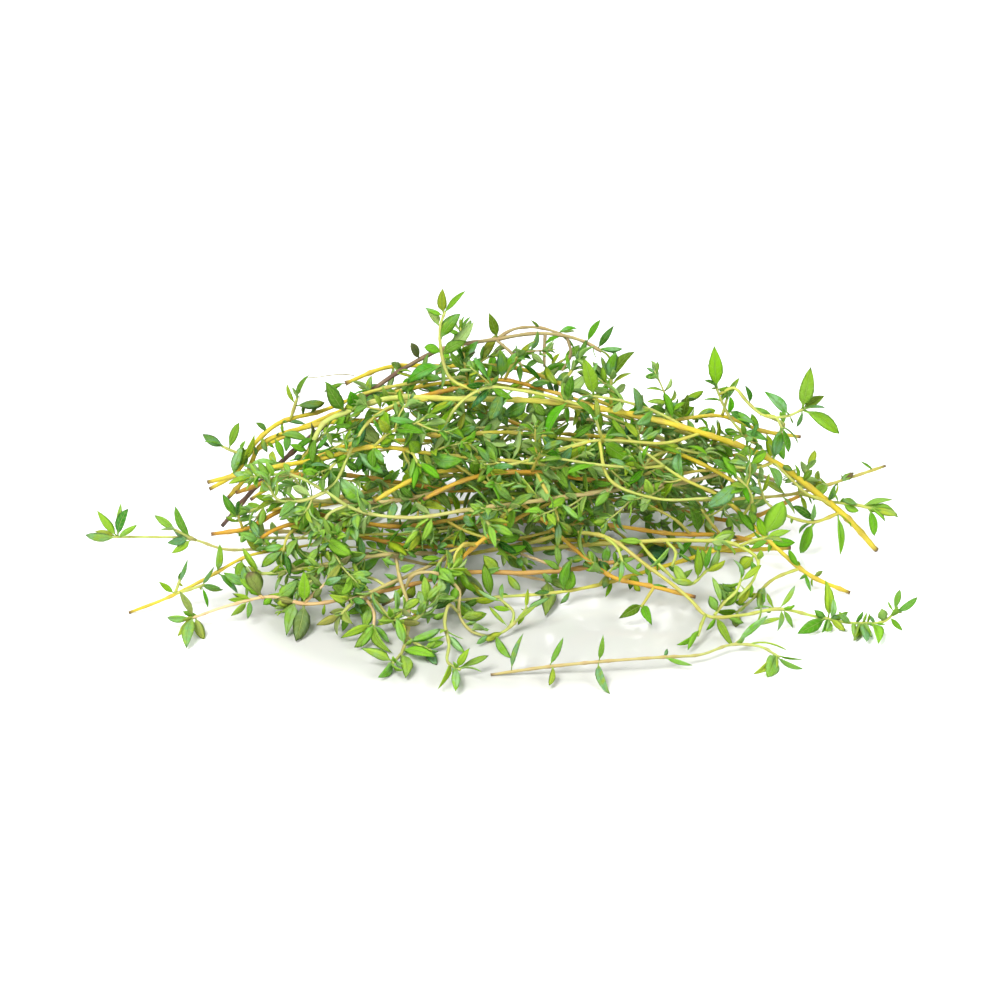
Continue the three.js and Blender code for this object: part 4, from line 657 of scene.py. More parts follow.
sprigs["right_thin_end"] = {
    "bark": "olive", "thick": 1, "thin": 0.7, "bare": 0.1, "leafy": (0.4, 0.1),
    "stem": [(88, 24, 18), (80, 22, 16), (68, 20, 13), (55, 17, 13), (41, 14, 14), (27, 12, 16),
        (14, 10, 16), (0, 9, 15)],
    "shoots": [
        [(68, 20, 13), (73, 17, 12), (82, 14.5, 12), (84.5, 13.5, 12)],
        [(68, 20, 13), (70, 20, 19)],
    ],
    "leaves": [((90.5, 13, 10.5), (83, 14, 12)), ((88, 14.5, 13), (82, 14.5, 12)),
        ((85.5, 12, 6), (83.5, 14, 12)), ((77.5, 15.5, 13), (81.5, 14.5, 12)),
        ((82, 23.5, 19.5), (85, 23.5, 17.5)), ((59.5, 17, 18), (65, 19, 13)), ((67, 17, 9), (64, 19, 13)),
        ((70, 18, 7.5), (68, 20, 13))],
    "seen": [(853, 473, 841, 480, 0, 0.45), (836, 487, 839, 481, 0, 0.5), (885, 523, 870, 508, 0, 0.3),
        (833, 499, 838, 483, 0, 0.2), (833, 492, 838, 501, 0, 0.25), (844, 499, 840, 505, 0, 0.5),
        (848, 499, 842, 505, 0, 0.4), (860, 510, 842, 508, -1, 0.5), (887, 508, 861, 507, -1, 0.45),
        (897, 514, 880, 510, -1, 0.3), (813, 505, 806, 496, -1, 0.3), (853, 473, 844, 479, 0, 0.5, "dead"),
        (841, 474, 843, 479, 0, 0.3)],
}
sprigs["low_crossing"] = {
    "bark": "straw", "thick": 1.4, "thin": 0.75, "bare": 0.3, "leafy": (0.25, 0.4),
    "stem": [(64, 16, 8), (55, 10, 6), (45, 4, 5), (31.5, -3, 4), (22, -8, 3.5), (12, -11, 3), (0, -13, 3),
        (-11, -15, 3)],
    "shoots": [
        [(22, -8, 3.5), (26, -10, 10)],
    ],
    "leaves": [((-5, -15, 3), (0, -13, 3)), ((23, -9.5, 1), (25, -6.5, 3.5))],
    "seen": [(533, 592, 552, 592, -1, 0.4), (572, 573, 565, 591, -1, 0.5), (464, 606, 480, 599, -1, 0.4),
        (470, 585, 486, 597, 1, 0.4), (472, 615, 455, 601, -2, 0.4), (609, 573, 612, 583, 1, 0.35),
        (538, 600, 556, 592, -1, 0.3), (562, 603, 571, 590, -1, 0.3), (420, 594, 443, 600, -1, 0.35),
        (484, 568, 489, 591, -1, 0.3), (471, 583, 486, 594, 0, 0.3), (464, 604, 482, 603, 0, 0.4),
        (473, 613, 453, 603, -2, 0.4), (570, 562, 562, 589, -2, 0.3), (568, 574, 571, 592, -1, 0.4),
        (503, 594, 508, 586, 0, 0.6), (603, 589, 609, 573, -1, 0.45), (638, 581, 627, 571, -1, 0.6),
        (629, 589, 633, 578, -1, 0.5), (679, 573, 668, 562, -1, 0.35)],
}
sprigs["right_curve"] = {
    "bark": "straw", "thick": 1.3, "thin": 0.75, "bare": 0.2, "leafy": (0.22, 0.22),
    "stem": [(78, -7, 1), (69, -4, 4), (62, -1, 9), (57, 2, 13), (50, 4, 19), (40, 5, 24), (33, 6, 29),
        (28, 7, 33)],
    "shoots": [
        [(67, -3, 5), (61, -6, 4), (56, -12, 2), (52, -17, 1)],
        [(55, 3, 16), (56, 0, 21), (54, -1, 25), (52, -1, 27)],
        [(37, 5, 27), (31, 1, 28), (22, -2, 30), (13, -3, 32)],
    ],
    "leaves": [((65.5, -1, 10.5), (60, 0, 10.5)), ((56, -2, 9.5), (60, 0, 10.5)),
        ((65, -3, 9), (67, -3, 5.5)), ((71, -5, 1), (69.5, -4, 4)), ((57, -15.5, 1), (59, -8.5, 3)),
        ((55.5, -3, 21), (53.5, -1, 25.5)), ((45, -3, 19.5), (53, -1, 26)),
        ((57, 1.5, 13), (52.5, 3.5, 17))],
    "seen": [(811, 590, 804, 571, -1, 0.2), (800, 580, 806, 572, -1, 0.4), (822, 572, 814, 575, 0, 0.5),
        (783, 501, 788, 512, 0, 0.5), (757, 515, 752, 502, -1, 0.5), (768, 552, 760, 548, -1, 0.4),
        (755, 524, 748, 508, -1, 0.4), (798, 560, 802, 567, 0, 0.3)],
}
sprigs["mid_golden"] = {
    "bark": "straw", "thick": 1.45, "thin": 0.8, "bare": 0.2, "leafy": (0.6, 0.8),
    "stem": [(-28, -4, 22), (-22, -2, 25), (-16, 0, 27), (-8, 2, 27), (2, 3, 26), (13, 4, 25), (27, 7, 25),
        (43, 11, 27)],
    "shoots": [
        [(-8, 2, 27), (-4, -1, 28), (-2, -4, 30)],
    ],
}
sprigs["mid_orange"] = {
    "bark": "brown", "thick": 1.4, "thin": 0.75, "bare": 0.2, "leafy": (0.6, 0.8),
    "stem": [(-17, -5, 23), (-12, -3, 25), (-5, -1, 27), (7, 1, 27), (20, 3, 24), (31, 5, 22), (45, 9, 23),
        (56, 13, 22)],
    "shoots": [
        [(7, 1, 27), (9, -4, 35)],
        [(8, 1, 26), (10, -4, 25), (12, -6, 22), (13, -7, 18)],
    ],
}
sprigs["pink_long"] = {
    "bark": "pale", "thick": 1.3, "thin": 0.75, "bare": 0.15, "leafy": (0.6, 0.6),
    "stem": [(53, 14, 22), (43, 9, 22), (27, 2, 23), (10, -3, 22), (-7, -6, 21), (-20, -8, 20),
        (-33, -7, 22), (-39, -6, 26), (-46, -5, 29), (-55, -4, 28)],
    "shoots": [
        [(-39, -6, 25), (-44, -8, 24), (-49, -9, 25), (-51, -9, 29)],
        [(-34, -7, 22), (-38, -9, 21), (-39, -10, 18), (-36, -11, 12), (-33, -13, 7)],
        [(-7, -6, 21), (-4, -9, 21), (-2, -11, 19)],
    ],
    "seen": [(330, 574, 341, 563, -1, 0.6), (332, 589, 351, 583, -1, 0.5), (352, 590, 346, 570, -2, 0.4),
        (369, 578, 350, 569, -1, 0.35), (341, 580, 345, 569, -1, 0.3)],
}
sprigs["bright_diagonal"] = {
    "bark": "brown", "thick": 1.45, "thin": 0.8, "bare": 0.25, "leafy": (0.65, 0.7),
    "stem": [(-21, -26, 2), (-17, -19, 4), (-11, -12, 9), (-4, -7, 14), (3, -3, 17), (13, 1, 20),
        (25, 4, 22), (37, 8, 25)],
    "shoots": [
        [(-6, -7, 13), (-8, -11, 15), (-10, -13, 13), (-9, -15, 9)],
        [(0, -5, 16), (1, -8, 21), (3, -9, 23)],
    ],
    "seen": [(450, 573, 455, 558, -1, 0.45)],
}
sprigs["top_back_straw"] = {
    "bark": "straw", "thick": 1.4, "thin": 0.75, "bare": 0.3, "leafy": (0.5, 0.28),
    "stem": [(-35, 25, 38), (-26, 27, 41), (-14, 28, 41), (5, 26, 41), (14, 22, 39), (25, 19, 35),
        (38, 17, 30), (52, 17, 25)],
    "shoots": [
        [(14, 22, 39), (18, 23, 45)],
        [(25, 19, 35), (25, 20, 42)],
    ],
    "leaves": [((26, 20, 48), (25, 20, 41.5)), ((22, 20, 45), (25, 20, 41.5)),
        ((30.5, 21, 47.5), (25, 20, 42)), ((-40, 24, 37), (-35, 25, 38))],
    "seen": [(540, 360, 524, 369, 0, 0.35), (570, 372, 558, 380, 0, 0.4)],
}
sprigs["top_mid_pink"] = {
    "bark": "brown", "thick": 1.3, "thin": 0.75, "bare": 0.2, "leafy": (0.6, 0.5),
    "stem": [(-32, 12, 33), (-22, 14, 38), (-11, 17, 40), (1, 20, 41), (10, 19, 39), (20, 16, 37),
        (31, 15, 33), (45, 14, 30)],
    "shoots": [
        [(1, 20, 41), (3, 18, 46), (4, 17, 48)],
        [(-7, 18, 41), (-8, 16, 47)],
    ],
    "seen": [(463, 360, 465, 379, -1, 0.4), (482, 358, 471, 379, -1, 0.35), (500, 349, 500, 377, -1, 0.35),
        (522, 350, 510, 377, -1, 0.35), (430, 398, 445, 390, 0, 0.4), (448, 380, 462, 386, 0, 0.4),
        (510, 388, 524, 380, 0, 0.4), (545, 380, 532, 388, 0, 0.45)],
}
sprigs["olive_middle"] = {
    "bark": "olive", "thick": 1.3, "thin": 0.75, "bare": 0.2, "leafy": (0.25, 0.25),
    "stem": [(1, 2, 7), (13, 0, 9), (27, -2, 11), (42, -5, 13), (53, -8, 13), (57, -11, 11), (56, -14, 8),
        (52, -18, 5)],
    "shoots": [
        [(53, -8, 13), (56, -9, 15), (59, -10, 16)],
        [(37, -4, 12), (39, -7, 11), (38, -10, 9)],
        [(31, -3, 12), (34, -8, 10), (42, -13, 6), (46, -13, 10)],
    ],
    "seen": [(523, 570, 508, 556, -1, 0.5), (703, 552, 706, 568, -1, 0.3), (712, 546, 708, 560, -1, 0.2),
        (739, 572, 750, 560, -1, 0.6), (753, 562, 752, 573, -1, 0.5), (762, 550, 757, 561, -1, 0.5),
        (744, 599, 755, 582, -1, 0.35), (745, 596, 750, 582, 0, 0.5), (738, 605, 750, 585, -1, 0.4),
        (619, 541, 646, 537, -1, 0.3), (606, 565, 608, 549, -1, 0.4), (673, 580, 692, 577, -1, 0.35),
        (692, 571, 677, 572, -1, 0.35), (664, 573, 661, 560, -1, 0.25), (658, 572, 658, 560, -1, 0.25),
        (692, 563, 680, 553, -1, 0.2), (697, 548, 692, 572, -1, 0.25), (684, 551, 676, 541, -1, 0.35),
        (615, 552, 625, 545, -1, 0.4)],
}
sprigs["right_cut_high"] = {
    "bark": "straw", "thick": 1.15, "thin": 0.7, "bare": 0.1, "leafy": (0.2, 0.2),
    "stem": [(68, 20, 27), (59, 19, 29), (50, 18, 33), (40, 16, 33), (31, 15, 31), (20, 15, 29),
        (9, 14, 27)],
    "shoots": [
        [(63, 20, 28), (64, 18, 31), (61, 17, 33)],
        [(50, 18, 33), (51, 17, 38)],
    ],
    "leaves": [((42, 16, 39), (40.5, 16, 33)), ((65, 17.5, 22.5), (63, 19.5, 28)),
        ((61, 17, 23), (60, 19, 29))],
}
sprigs["right_dark_end"] = {
    "bark": "brown", "thick": 1.15, "thin": 0.75, "bare": 0.1, "leafy": (0.45, 0.5),
    "stem": [(58, 22, 22), (48, 20, 22), (36, 18, 22), (25, 17, 21), (14, 16, 21), (0, 15, 19)],
    "shoots": [
        [(48, 20, 22), (48, 14, 30)],
    ],
}
sprigs["right_golden_end"] = {
    "bark": "straw", "thick": 1.3, "thin": 0.75, "bare": 0.15, "leafy": (0.45, 0.5),
    "stem": [(53, 8, 21), (46, 9, 25), (38, 11, 28), (27, 12, 30), (13, 13, 31), (0, 14, 32),
        (-13, 14, 31)],
    "shoots": [
        [(38, 11, 28), (33, 7, 27), (31, 5, 24)],
    ],
    "seen": [(492, 442, 490, 424, -2, 0.4)],
}
sprigs["right_brown_low"] = {
    "bark": "brown", "thick": 1.3, "thin": 0.75, "bare": 0.15, "leafy": (0.4, 0.35),
    "stem": [(61, 8, 6), (50, 8, 8), (38, 7, 9), (25, 7, 11), (11, 7, 12), (-2, 6, 12), (-16, 5, 11)],
    "shoots": [
        [(50, 8, 8), (47, 5, 13), (45, 3, 17)],
        [(43, 7, 9), (39, 4, 14), (33, 3, 18)],
    ],
    "seen": [(732, 527, 718, 534, -1, 0.5, "dead"), (738, 538, 727, 537, -1, 0.5, "dead"),
        (684, 512, 671, 527, -1, 0.35)],
}
sprigs["back_low_straw"] = {
    "bark": "straw", "thick": 1.45, "thin": 0.75, "bare": 0.2,
    "stem": [(-54, 32, 3), (-43, 40, 0), (-30, 44, 0), (-10, 42, 0), (10, 45, 0), (24, 41, 4), (36, 43, 9)],
    "shoots": [
        [(-30, 44, 0), (-23, 48, 3), (-17, 49, 5)],
        [(10, 45, 0), (15, 48, 3)],
        [(-10, 42, 0), (-15, 39, 5), (-19, 41, 9)],
    ],
    "leaves": [((-16, 55, 4),), ((17, 55, 3),), ((-30, 52, 2),), ((-11, 50, 7),), ((38, 49, 11),)],
}
sprigs["back_low_brown"] = {
    "bark": "brown", "thick": 1.4, "thin": 0.75, "bare": 0.2,
    "stem": [(70, 34, 6), (56, 29, 2), (42, 37, 0), (26, 44, 0), (8, 39, 5), (-8, 36, 9), (-20, 39, 12)],
    "shoots": [
        [(42, 37, 0), (38, 42, 3), (34, 46, 5)],
        [(56, 29, 2), (53, 35, 5), (50, 39, 8)],
    ],
    "leaves": [((30, 53, 5),), ((38, 51, 3),), ((52, 46, 8),)],
}
sprigs["back_mid_straw"] = {
    "bark": "straw", "thick": 1.4, "thin": 0.75, "bare": 0.2, "leafy": (0.65, 0.8),
    "stem": [(-57, 23, 10), (-49, 32, 12), (-38, 38, 16), (-20, 36, 19), (-2, 42, 14), (14, 44, 9),
        (44, 40, 2)],
    "shoots": [
        [(-38, 38, 16), (-33, 43, 14), (-30, 45, 10)],
        [(-2, 42, 14), (3, 45, 16), (9, 46, 20)],
        [(-20, 36, 19), (-16, 40, 22), (-10, 41, 25)],
    ],
    "leaves": [((-28, 50, 8),), ((-36, 49, 13),)],
    "seen": [(413, 409, 437, 423, -2, 0.3), (513, 432, 508, 445, -1, 0.3), (503, 457, 518, 455, -1, 0.5),
        (526, 431, 540, 420, 0, 0.5), (480, 444, 494, 450, -1, 0.4)],
}
sprigs["back_mid_pale"] = {
    "bark": "pale", "thick": 1.3, "thin": 0.75, "bare": 0.15, "leafy": (0.7, 0.4),
    "stem": [(64, 24, 14), (50, 33, 15), (36, 36, 20), (20, 33, 26), (4, 36, 23), (-12, 41, 17),
        (-44, 33, 15)],
    "shoots": [
        [(36, 36, 20), (31, 40, 22), (27, 41, 26)],
        [(4, 36, 23), (-1, 39, 27), (-7, 40, 30)],
        [(50, 33, 15), (46, 39, 14), (41, 43, 12)],
    ],
    "seen": [(536, 423, 507, 413, -2, 0.45), (508, 415, 520, 424, 0, 0.5), (498, 405, 512, 412, 0, 0.4)],
}
sprigs["back_high_straw"] = {
    "bark": "straw", "thick": 1.4, "thin": 0.75, "bare": 0.25, "leafy": (0.6, 0.2),
    "stem": [(-57, 22, 22), (-43, 25, 28), (-28, 28, 33), (-12, 30, 36), (4, 34, 33), (18, 36, 27),
        (46, 31, 18)],
    "shoots": [
        [(-28, 28, 33), (-24, 33, 33), (-19, 35, 35)],
        [(4, 34, 33), (9, 37, 35), (15, 37, 39)],
        [(33, 33, 22), (37, 35, 26), (42, 33, 30)],
    ],
    "seen": [(287, 420, 307, 423, -1, 0.25)],
}
sprigs["back_crossing"] = {
    "bark": "brown", "thick": 1.4, "thin": 0.75, "bare": 0.2, "leafy": (0.65, 0.8),
    "stem": [(58, 41, 0), (44, 36, 8), (28, 33, 16), (12, 31, 22), (-4, 32, 28), (-18, 29, 33),
        (-30, 23, 37)],
    "shoots": [
        [(28, 33, 16), (24, 38, 13), (18, 40, 11)],
        [(-4, 32, 28), (-9, 36, 29), (-16, 38, 28)],
    ],
    "seen": [(467, 437, 467, 406, -2, 0.35), (468, 438, 468, 406, -1, 0.3), (494, 440, 497, 420, -1, 0.35)],
}
sprigs["inner_low_straw"] = {
    "bark": "straw", "thick": 1.45, "thin": 0.75, "bare": 0.2, "leafy": (0.8, 0.8),
    "stem": [(66, 12, 3), (50, 16, 0), (30, 20, 0), (8, 22, 0), (-14, 22, 0), (-36, 17, 3), (-54, 11, 6)],
    "shoots": [
        [(30, 20, 0), (25, 24, 3), (20, 27, 6)],
        [(-4, 22, 0), (-9, 18, 3), (-14, 16, 6)],
    ],
    "seen": [(745, 545, 752, 548, 0, 0.6), (652, 564, 664, 547, -1, 0.5), (642, 556, 658, 550, -1, 0.35),
        (700, 560, 690, 552, 0, 0.35)],
}
sprigs["inner_low_pale"] = {
    "bark": "pale", "thick": 1.3, "thin": 0.75, "bare": 0.15, "leafy": (0.5, 0.5),
    "stem": [(-55, 21, 3), (-44, 26, 0), (-26, 30, 0), (-4, 31, 0), (18, 30, 3), (38, 26, 6), (54, 22, 9)],
    "shoots": [
        [(-26, 30, 0), (-22, 26, 5), (-18, 24, 9)],
        [(-4, 31, 0), (3, 33, 4), (9, 34, 8)],
    ],
}
sprigs["inner_mid_olive"] = {
    "bark": "olive", "thick": 1.3, "thin": 0.75, "bare": 0.1, "leafy": (0.65, 0.8),
    "stem": [(-50, 14, 11), (-30, 21, 13), (-8, 26, 15), (14, 27, 14), (44, 22, 13)],
    "shoots": [
        [(-20, 24, 14), (-16, 28, 17), (-12, 30, 20)],
        [(12, 27, 14), (8, 23, 10), (3, 20, 8)],
    ],
}

# how sprigs are planted and spread apart, and how the large leaves grow on them
stemRule = {
    "shootThick": 0.95, "shootThin": 0.7, "airGap": 0.5, "flatSide": 0.68,
    "spreadReach": 7, "spreadRounds": 60, "markReach": 0.2,
}
leafRule = {
    "thick": 0.68, "long": 9.2, "short": 6.4, "givenLong": 10.2, "tipLong": 6.2, "slim": 0.36, "arch": 0.07,
    "pairPitch": 120, "rootSunk": 0.9, "lowestPair": 3, "lowestTip": 1.2,
    "atTip": 1,  # a pair closer to the end than this is the tip's
    "tries": 26, "reach": 0.62, "ownFrom": 0.5, "floorAir": 0.15, "smallest": 0.75,
    "tipSway": 0.3, "turnSway": 0.05, "tipOpening": (0.35, 0.75), "pairOpening": (0.8, 1.25),
    "stemInFace": 0.5,
}
heapAxis = np.array([0, 14, -4])  # a place on the line that the leaves' faces turn away from
endwise = np.array([0.15, 1, 1])
frontLean = np.array([0, -0.8, 0])
upwards = np.array([0.0, 0.0, 1.0])
spreadSteps = (0.6180339887, 0.7548776662, 0.5698402910)  # for turn, opening and length
spreadStarts = {"sprig": 97, "stem": 13, "pair": 5, "half": 31, "attempt": 7, "twist": 3}


def spread(n, channel):
    # numbers spread evenly over 0 to 1, in an order that looks irregular
    return (n * spreadSteps[channel]) % 1


def lerp(a, b, share):
    return (1 - share) * a + share * b


def clamped(value):
    return min(max(value, 0), 1)


def unit(vector):
    return vector / math.sqrt(vector @ vector)


def turned(vector, axis, angle):
    flat = axis * (axis @ vector) * (1 - math.cos(angle))
    return vector * math.cos(angle) + np.cross(axis, vector) * math.sin(angle) + flat


def radiusAt(stem, place):
    return lerp(stem["thick"], stem["thin"], place / (len(stem["points"]) - 1)) / 2


def nearestStem(stems, target):
    nearest = None
    for stem in stems:
        points = stem["points"]
        for i in range(len(points) - 1):
            way = points[i + 1] - points[i]
            share = clamped((target - points[i]) @ way / (way @ way))
            share = min(share, 1 - leafRule["rootSunk"] / math.sqrt(way @ way))
            spot = way * share + points[i]
            gap = math.dist(spot, target)
            if nearest is None or gap < nearest["gap"]:
                nearest = {"gap": gap, "spot": spot, "stem": stem, "i": i, "share": share}
    return nearest


def newStem(points, thick, thin, **more):
    return {"points": [np.array(point, float) for point in points], "thick": thick, "thin": thin,
            "tie": None, **more}


def plantStems(sprig):
    stems = [newStem(sprig["stem"], sprig["thick"], sprig["thin"])]
    for shoot in sprig["shoots"]:
        stem = newStem(shoot, stemRule["shootThick"], stemRule["shootThin"])
        stem["tie"] = nearestStem(stems, stem["points"][0])
        stems.append(stem)
    return stems


def closestShares(a0, a1, b0, b1):
    # where along two straight stretches they come closest
    d1, d2, r = a1 - a0, b1 - b0, a0 - b0
    a, b, c, e, f = d1 @ d1, d1 @ d2, d1 @ r, d2 @ d2, d2 @ r
    denominator = a * e - b * b
    s = clamped((b * f - c * e) / denominator) if denominator > 1e-9 else 0.5
    t = (b * s + f) / e
    if t < 0 or t > 1:
        t = clamped(t)
        s = clamped((b * t - c) / a)
    return s, t


def settleStem(stem):
    # a shoot starts on its parent, and nothing sinks into the floor
    points, tie = stem["points"], stem["tie"]
    if tie:
        start, end = tie["stem"]["points"][tie["i"]:tie["i"] + 2]
        points[0][:] = start + (end - start) * tie["share"]
    for i, point in enumerate(points):
        way = unit(points[min(i + 1, len(points) - 1)] - points[max(i - 1, 0)])
        lowest = radiusAt(stem, i) * stemRule["flatSide"] * math.hypot(way[0], way[1])
        point[2] = max(point[2], lowest)


def endsOf(one, two):
    (stem, i, _), (other, j, _) = one, two
    return stem["points"][i], stem["points"][i + 1], other["points"][j], other["points"][j + 1]


def mayMeet(one, two):
    a0, a1, b0, b1 = endsOf(one, two)
    reach = (math.dist(a0, a1) + math.dist(b0, b1)) / 2 + stemRule["spreadReach"]
    return math.dist((a0 + a1) / 2, (b0 + b1) / 2) < reach


def apart(one, two):
    ends = endsOf(one, two)
    s, t = closestShares(*ends)
    way = ends[0] + (ends[1] - ends[0]) * s - ends[2] - (ends[3] - ends[2]) * t
    return s, t, way, math.sqrt(way @ way), ends


def spreadStems(allStems):
    # pushes crossing stems apart, a little in each round
    stretches = [(stem, i, owner) for owner, stems in enumerate(allStems)
                 for stem in stems for i in range(len(stem["points"]) - 1)]
    pairs = [(one, two) for n, one in enumerate(stretches) for two in stretches[n + 1:]
             if one[2] != two[2] and mayMeet(one, two) and apart(one, two)[3] < stemRule["spreadReach"]]
    for _ in range(stemRule["spreadRounds"]):
        for one, two in pairs:
            s, t, way, distance, ends = apart(one, two)
            need = radiusAt(one[0], one[1] + s) + radiusAt(two[0], two[1] + t) + stemRule["airGap"]
            if distance >= need:
                continue
            touching = distance <= 1e-3
            push = upwards * need / 2 if touching else way * ((need - distance) / distance / 2)
            for end, weight in zip(ends, (1 - s, s, t - 1, -t)):
                end += push * weight
        for stem in (stem for stems in allStems for stem in stems):
            settleStem(stem)


class Marks:
    # marked spots, each with the air that it keeps round it, in a grid that finds near neighbours
    cell = 3.0  # millimetres
    most = 200000

    def __init__(self):
        self.cells = {}
        self.rows = np.zeros((self.most, 5))  # place, air and owner
        self.count = 0

    def add(self, spot, reach, owner):
        key = tuple(int(value // self.cell) for value in spot)
        self.cells.setdefault(key, []).append(self.count)
        self.rows[self.count] = (*spot, reach, owner)
        self.count += 1

    def near(self, spots):
        spans = [range(int(low // self.cell) - 1, int(high // self.cell) + 2)
                 for low, high in zip(spots.min(0), spots.max(0))]
        found = []
        for x in spans[0]:
            for y in spans[1]:
                for z in spans[2]:
                    found += self.cells.get((x, y, z), ())
        return self.rows[found]

    def areFree(self, spots, reach, own, ownCounts):
        # own marks count only for the spots that ownCounts says
        near = self.near(spots)
        if not len(near):
            return True
        gaps = np.linalg.norm(spots[:, None] - near[None, :, :3], axis=2)
        meets = (gaps < reach + near[None, :, 3]) & (ownCounts[:, None] | (near[None, :, 4] != own))
        return not meets.any()


def markStems(marks, stems, owner, extra):
    for stem in stems:
        points = stem["points"]
        for i in range(len(points) - 1):
            steps = math.ceil(math.dist(points[i], points[i + 1]))
            for step in range(steps + 1):
                share = step / steps
                spot = points[i] + (points[i + 1] - points[i]) * share
                marks.add(spot, radiusAt(stem, i + share) + extra, owner)


# a leaf's spots that are kept clear of the others, by share of the length and side
sampleRule = {
    "shares": (0.2, 0.36, 0.52, 0.7, 0.86, 1), "sides": (-1, 0, 1),
    "widestFrom": 0.36, "tipLong": 0.28, "wide": 0.84,
}


def sampleOutline(share):
    rule = sampleRule
    near = share / rule["widestFrom"] if share < rule["widestFrom"] else 1
    return min(near, 1, (1 - share) / rule["tipLong"]) * rule["wide"]


sampleRows = np.array([(share, side * sampleOutline(share))
                       for share in sampleRule["shares"] for side in sampleRule["sides"]])


def settleLeaf(root, way, face, long):
    along = unit(way)
    up = unit(face - along * (face @ along))
    return {"root": root, "along": along, "up": up, "across": np.cross(up, along),
            "long": long, "wide": long * leafRule["slim"], "arch": leafRule["arch"]}


def leafSpots(leaf):
    share, side = sampleRows[:, :1], sampleRows[:, 1:]
    lift = leaf["arch"] * leaf["long"] * 4 * share * (1 - share)
    return leaf["root"] + leaf["along"] * share * leaf["long"] + leaf["across"] * side * leaf["wide"] / 2 \
        + leaf["up"] * lift


def largeLeafFits(marks, leaf, owner):
    spots = leafSpots(leaf)
    if spots[:, 2].min() <= leafRule["thick"] / 2 + leafRule["floorAir"]:
        return False
    return marks.areFree(spots, leafRule["reach"], owner, sampleRows[:, 0] > leafRule["ownFrom"])


def markLeaf(marks, leaf, owner, reach):
    for spot in leafSpots(leaf):
        marks.add(spot, reach, owner)


def outward(spot):
    return unit((spot - heapAxis) * endwise)


def growMarkedLeaf(marks, stems, ends, owner, n):
    # a large leaf from its tip's place and, where it is given, a place near its root
    target = np.array(ends[0], float)
    target[2] = max(target[2], leafRule["lowestTip"])
    nearest = nearestStem(stems, np.array(ends[1], float) if len(ends) > 1 else target)
    for attempt in range(leafRule["tries"]):
        chance = np.array([spread(n + attempt, channel) - 0.5 for channel in range(3)])
        sway = chance * attempt * leafRule["tipSway"]
        way = target + sway - nearest["spot"]
        long = min(math.sqrt(way @ way), leafRule["givenLong"])
        leaf = settleLeaf(nearest["spot"], way, outward(target) + frontLean + sway, long)
        if largeLeafFits(marks, leaf, owner):
            leaf["stem"], leaf["place"] = nearest["stem"], nearest["i"] + nearest["share"]
            return leaf
    return None


def leafPlaces(stem, bare):
    # from the tip back to the bare end
    points = stem["points"]
    lengths = [math.dist(points[i], points[i + 1]) for i in range(len(points) - 1)]
    total = sum(lengths)
    places = []
    back = leafRule["rootSunk"]
    while back < total * (1 - bare) - leafRule["lowestPair"]:
        left, i = total - back, 0
        while i < len(lengths) - 1 and left > lengths[i]:
            left -= lengths[i]
            i += 1
        share = left / lengths[i]
        atTip = back < leafRule["atTip"]
        places.append({"root": points[i] + (points[i + 1] - points[i]) * share, "place": i + share,
                       "way": unit(points[i + 1] - points[i]), "atTip": atTip})
        back += leafRule["pairPitch"] / 2 if atTip else leafRule["pairPitch"]
    return places


def growPair(marks, place, pairNumber, owner, start):
    # two leaves on opposite sides, each tried at nearby turns until it is clear
    way, atTip = place["way"], place["atTip"]
    side = unit(np.cross(upwards, way))
    leaves = []
    for half in range(2):
        for attempt in range(leafRule["tries"]):
            n = start + half * spreadStarts["half"] + attempt * spreadStarts["attempt"]
            sway = (spread(n, 0) - 0.5) * (attempt + 1) * leafRule["turnSway"]
            turn = math.pi * (pairNumber / 2 + half + sway)
            opening = lerp(*leafRule["tipOpening" if atTip else "pairOpening"], spread(n, 1))
            shrink = lerp(1, leafRule["smallest"], attempt / leafRule["tries"])
            long = leafRule["tipLong"] if atTip else lerp(leafRule["short"], leafRule["long"], spread(n, 2))
            radial = turned(side, way, turn)
            twist = turned(radial, way, math.pi / 2) * (spread(n + spreadStarts["twist"], 0) - 0.5)
            along = radial * math.sin(opening) + way * math.cos(opening)
            face = way * leafRule["stemInFace"] + outward(place["root"]) + twist
            leaf = settleLeaf(place["root"], along, face, long * shrink)
            if largeLeafFits(marks, leaf, owner):
                markLeaf(marks, leaf, owner, leafRule["reach"])
                leaf["place"] = place["place"]
                leaves.append(leaf)
                break
    return leaves


def growLargeLeaves(names, allStems):
    # by the frame's own rule, so that each leaf lies on its solid blade
    marks = Marks()
    for owner, stems in enumerate(allStems):
        markStems(marks, stems, owner, stemRule["markReach"])
    allLeaves = []
    for owner, name in enumerate(names):
        grown = []
        for n, ends in enumerate(sprigs[name].get("leaves", ())):
            leaf = growMarkedLeaf(marks, allStems[owner], ends, owner, n)
            if leaf:
                markLeaf(marks, leaf, owner, leafRule["reach"])
                grown.append(leaf)
        allLeaves.append(grown)
    for owner, name in enumerate(names):
        for k, stem in enumerate(allStems[owner]):
            bare = 0 if k else sprigs[name]["bare"]
            for p, place in enumerate(leafPlaces(stem, bare)):
                start = owner * spreadStarts["sprig"] + k * spreadStarts["stem"] + p * spreadStarts["pair"]
                for leaf in growPair(marks, place, p, owner, start):
                    leaf["stem"] = stem
                    allLeaves[owner].append(leaf)
    return allLeaves


# where the seen leaves are, in millimetres
viewRule = {
    "wide": 1000,  # the view's width in the seen leaves' numbers
    "routeSteps": 20, "rounding": 0.5,
}


def roundPlace(values):
    return np.round(values / viewRule["rounding"]) * viewRule["rounding"]


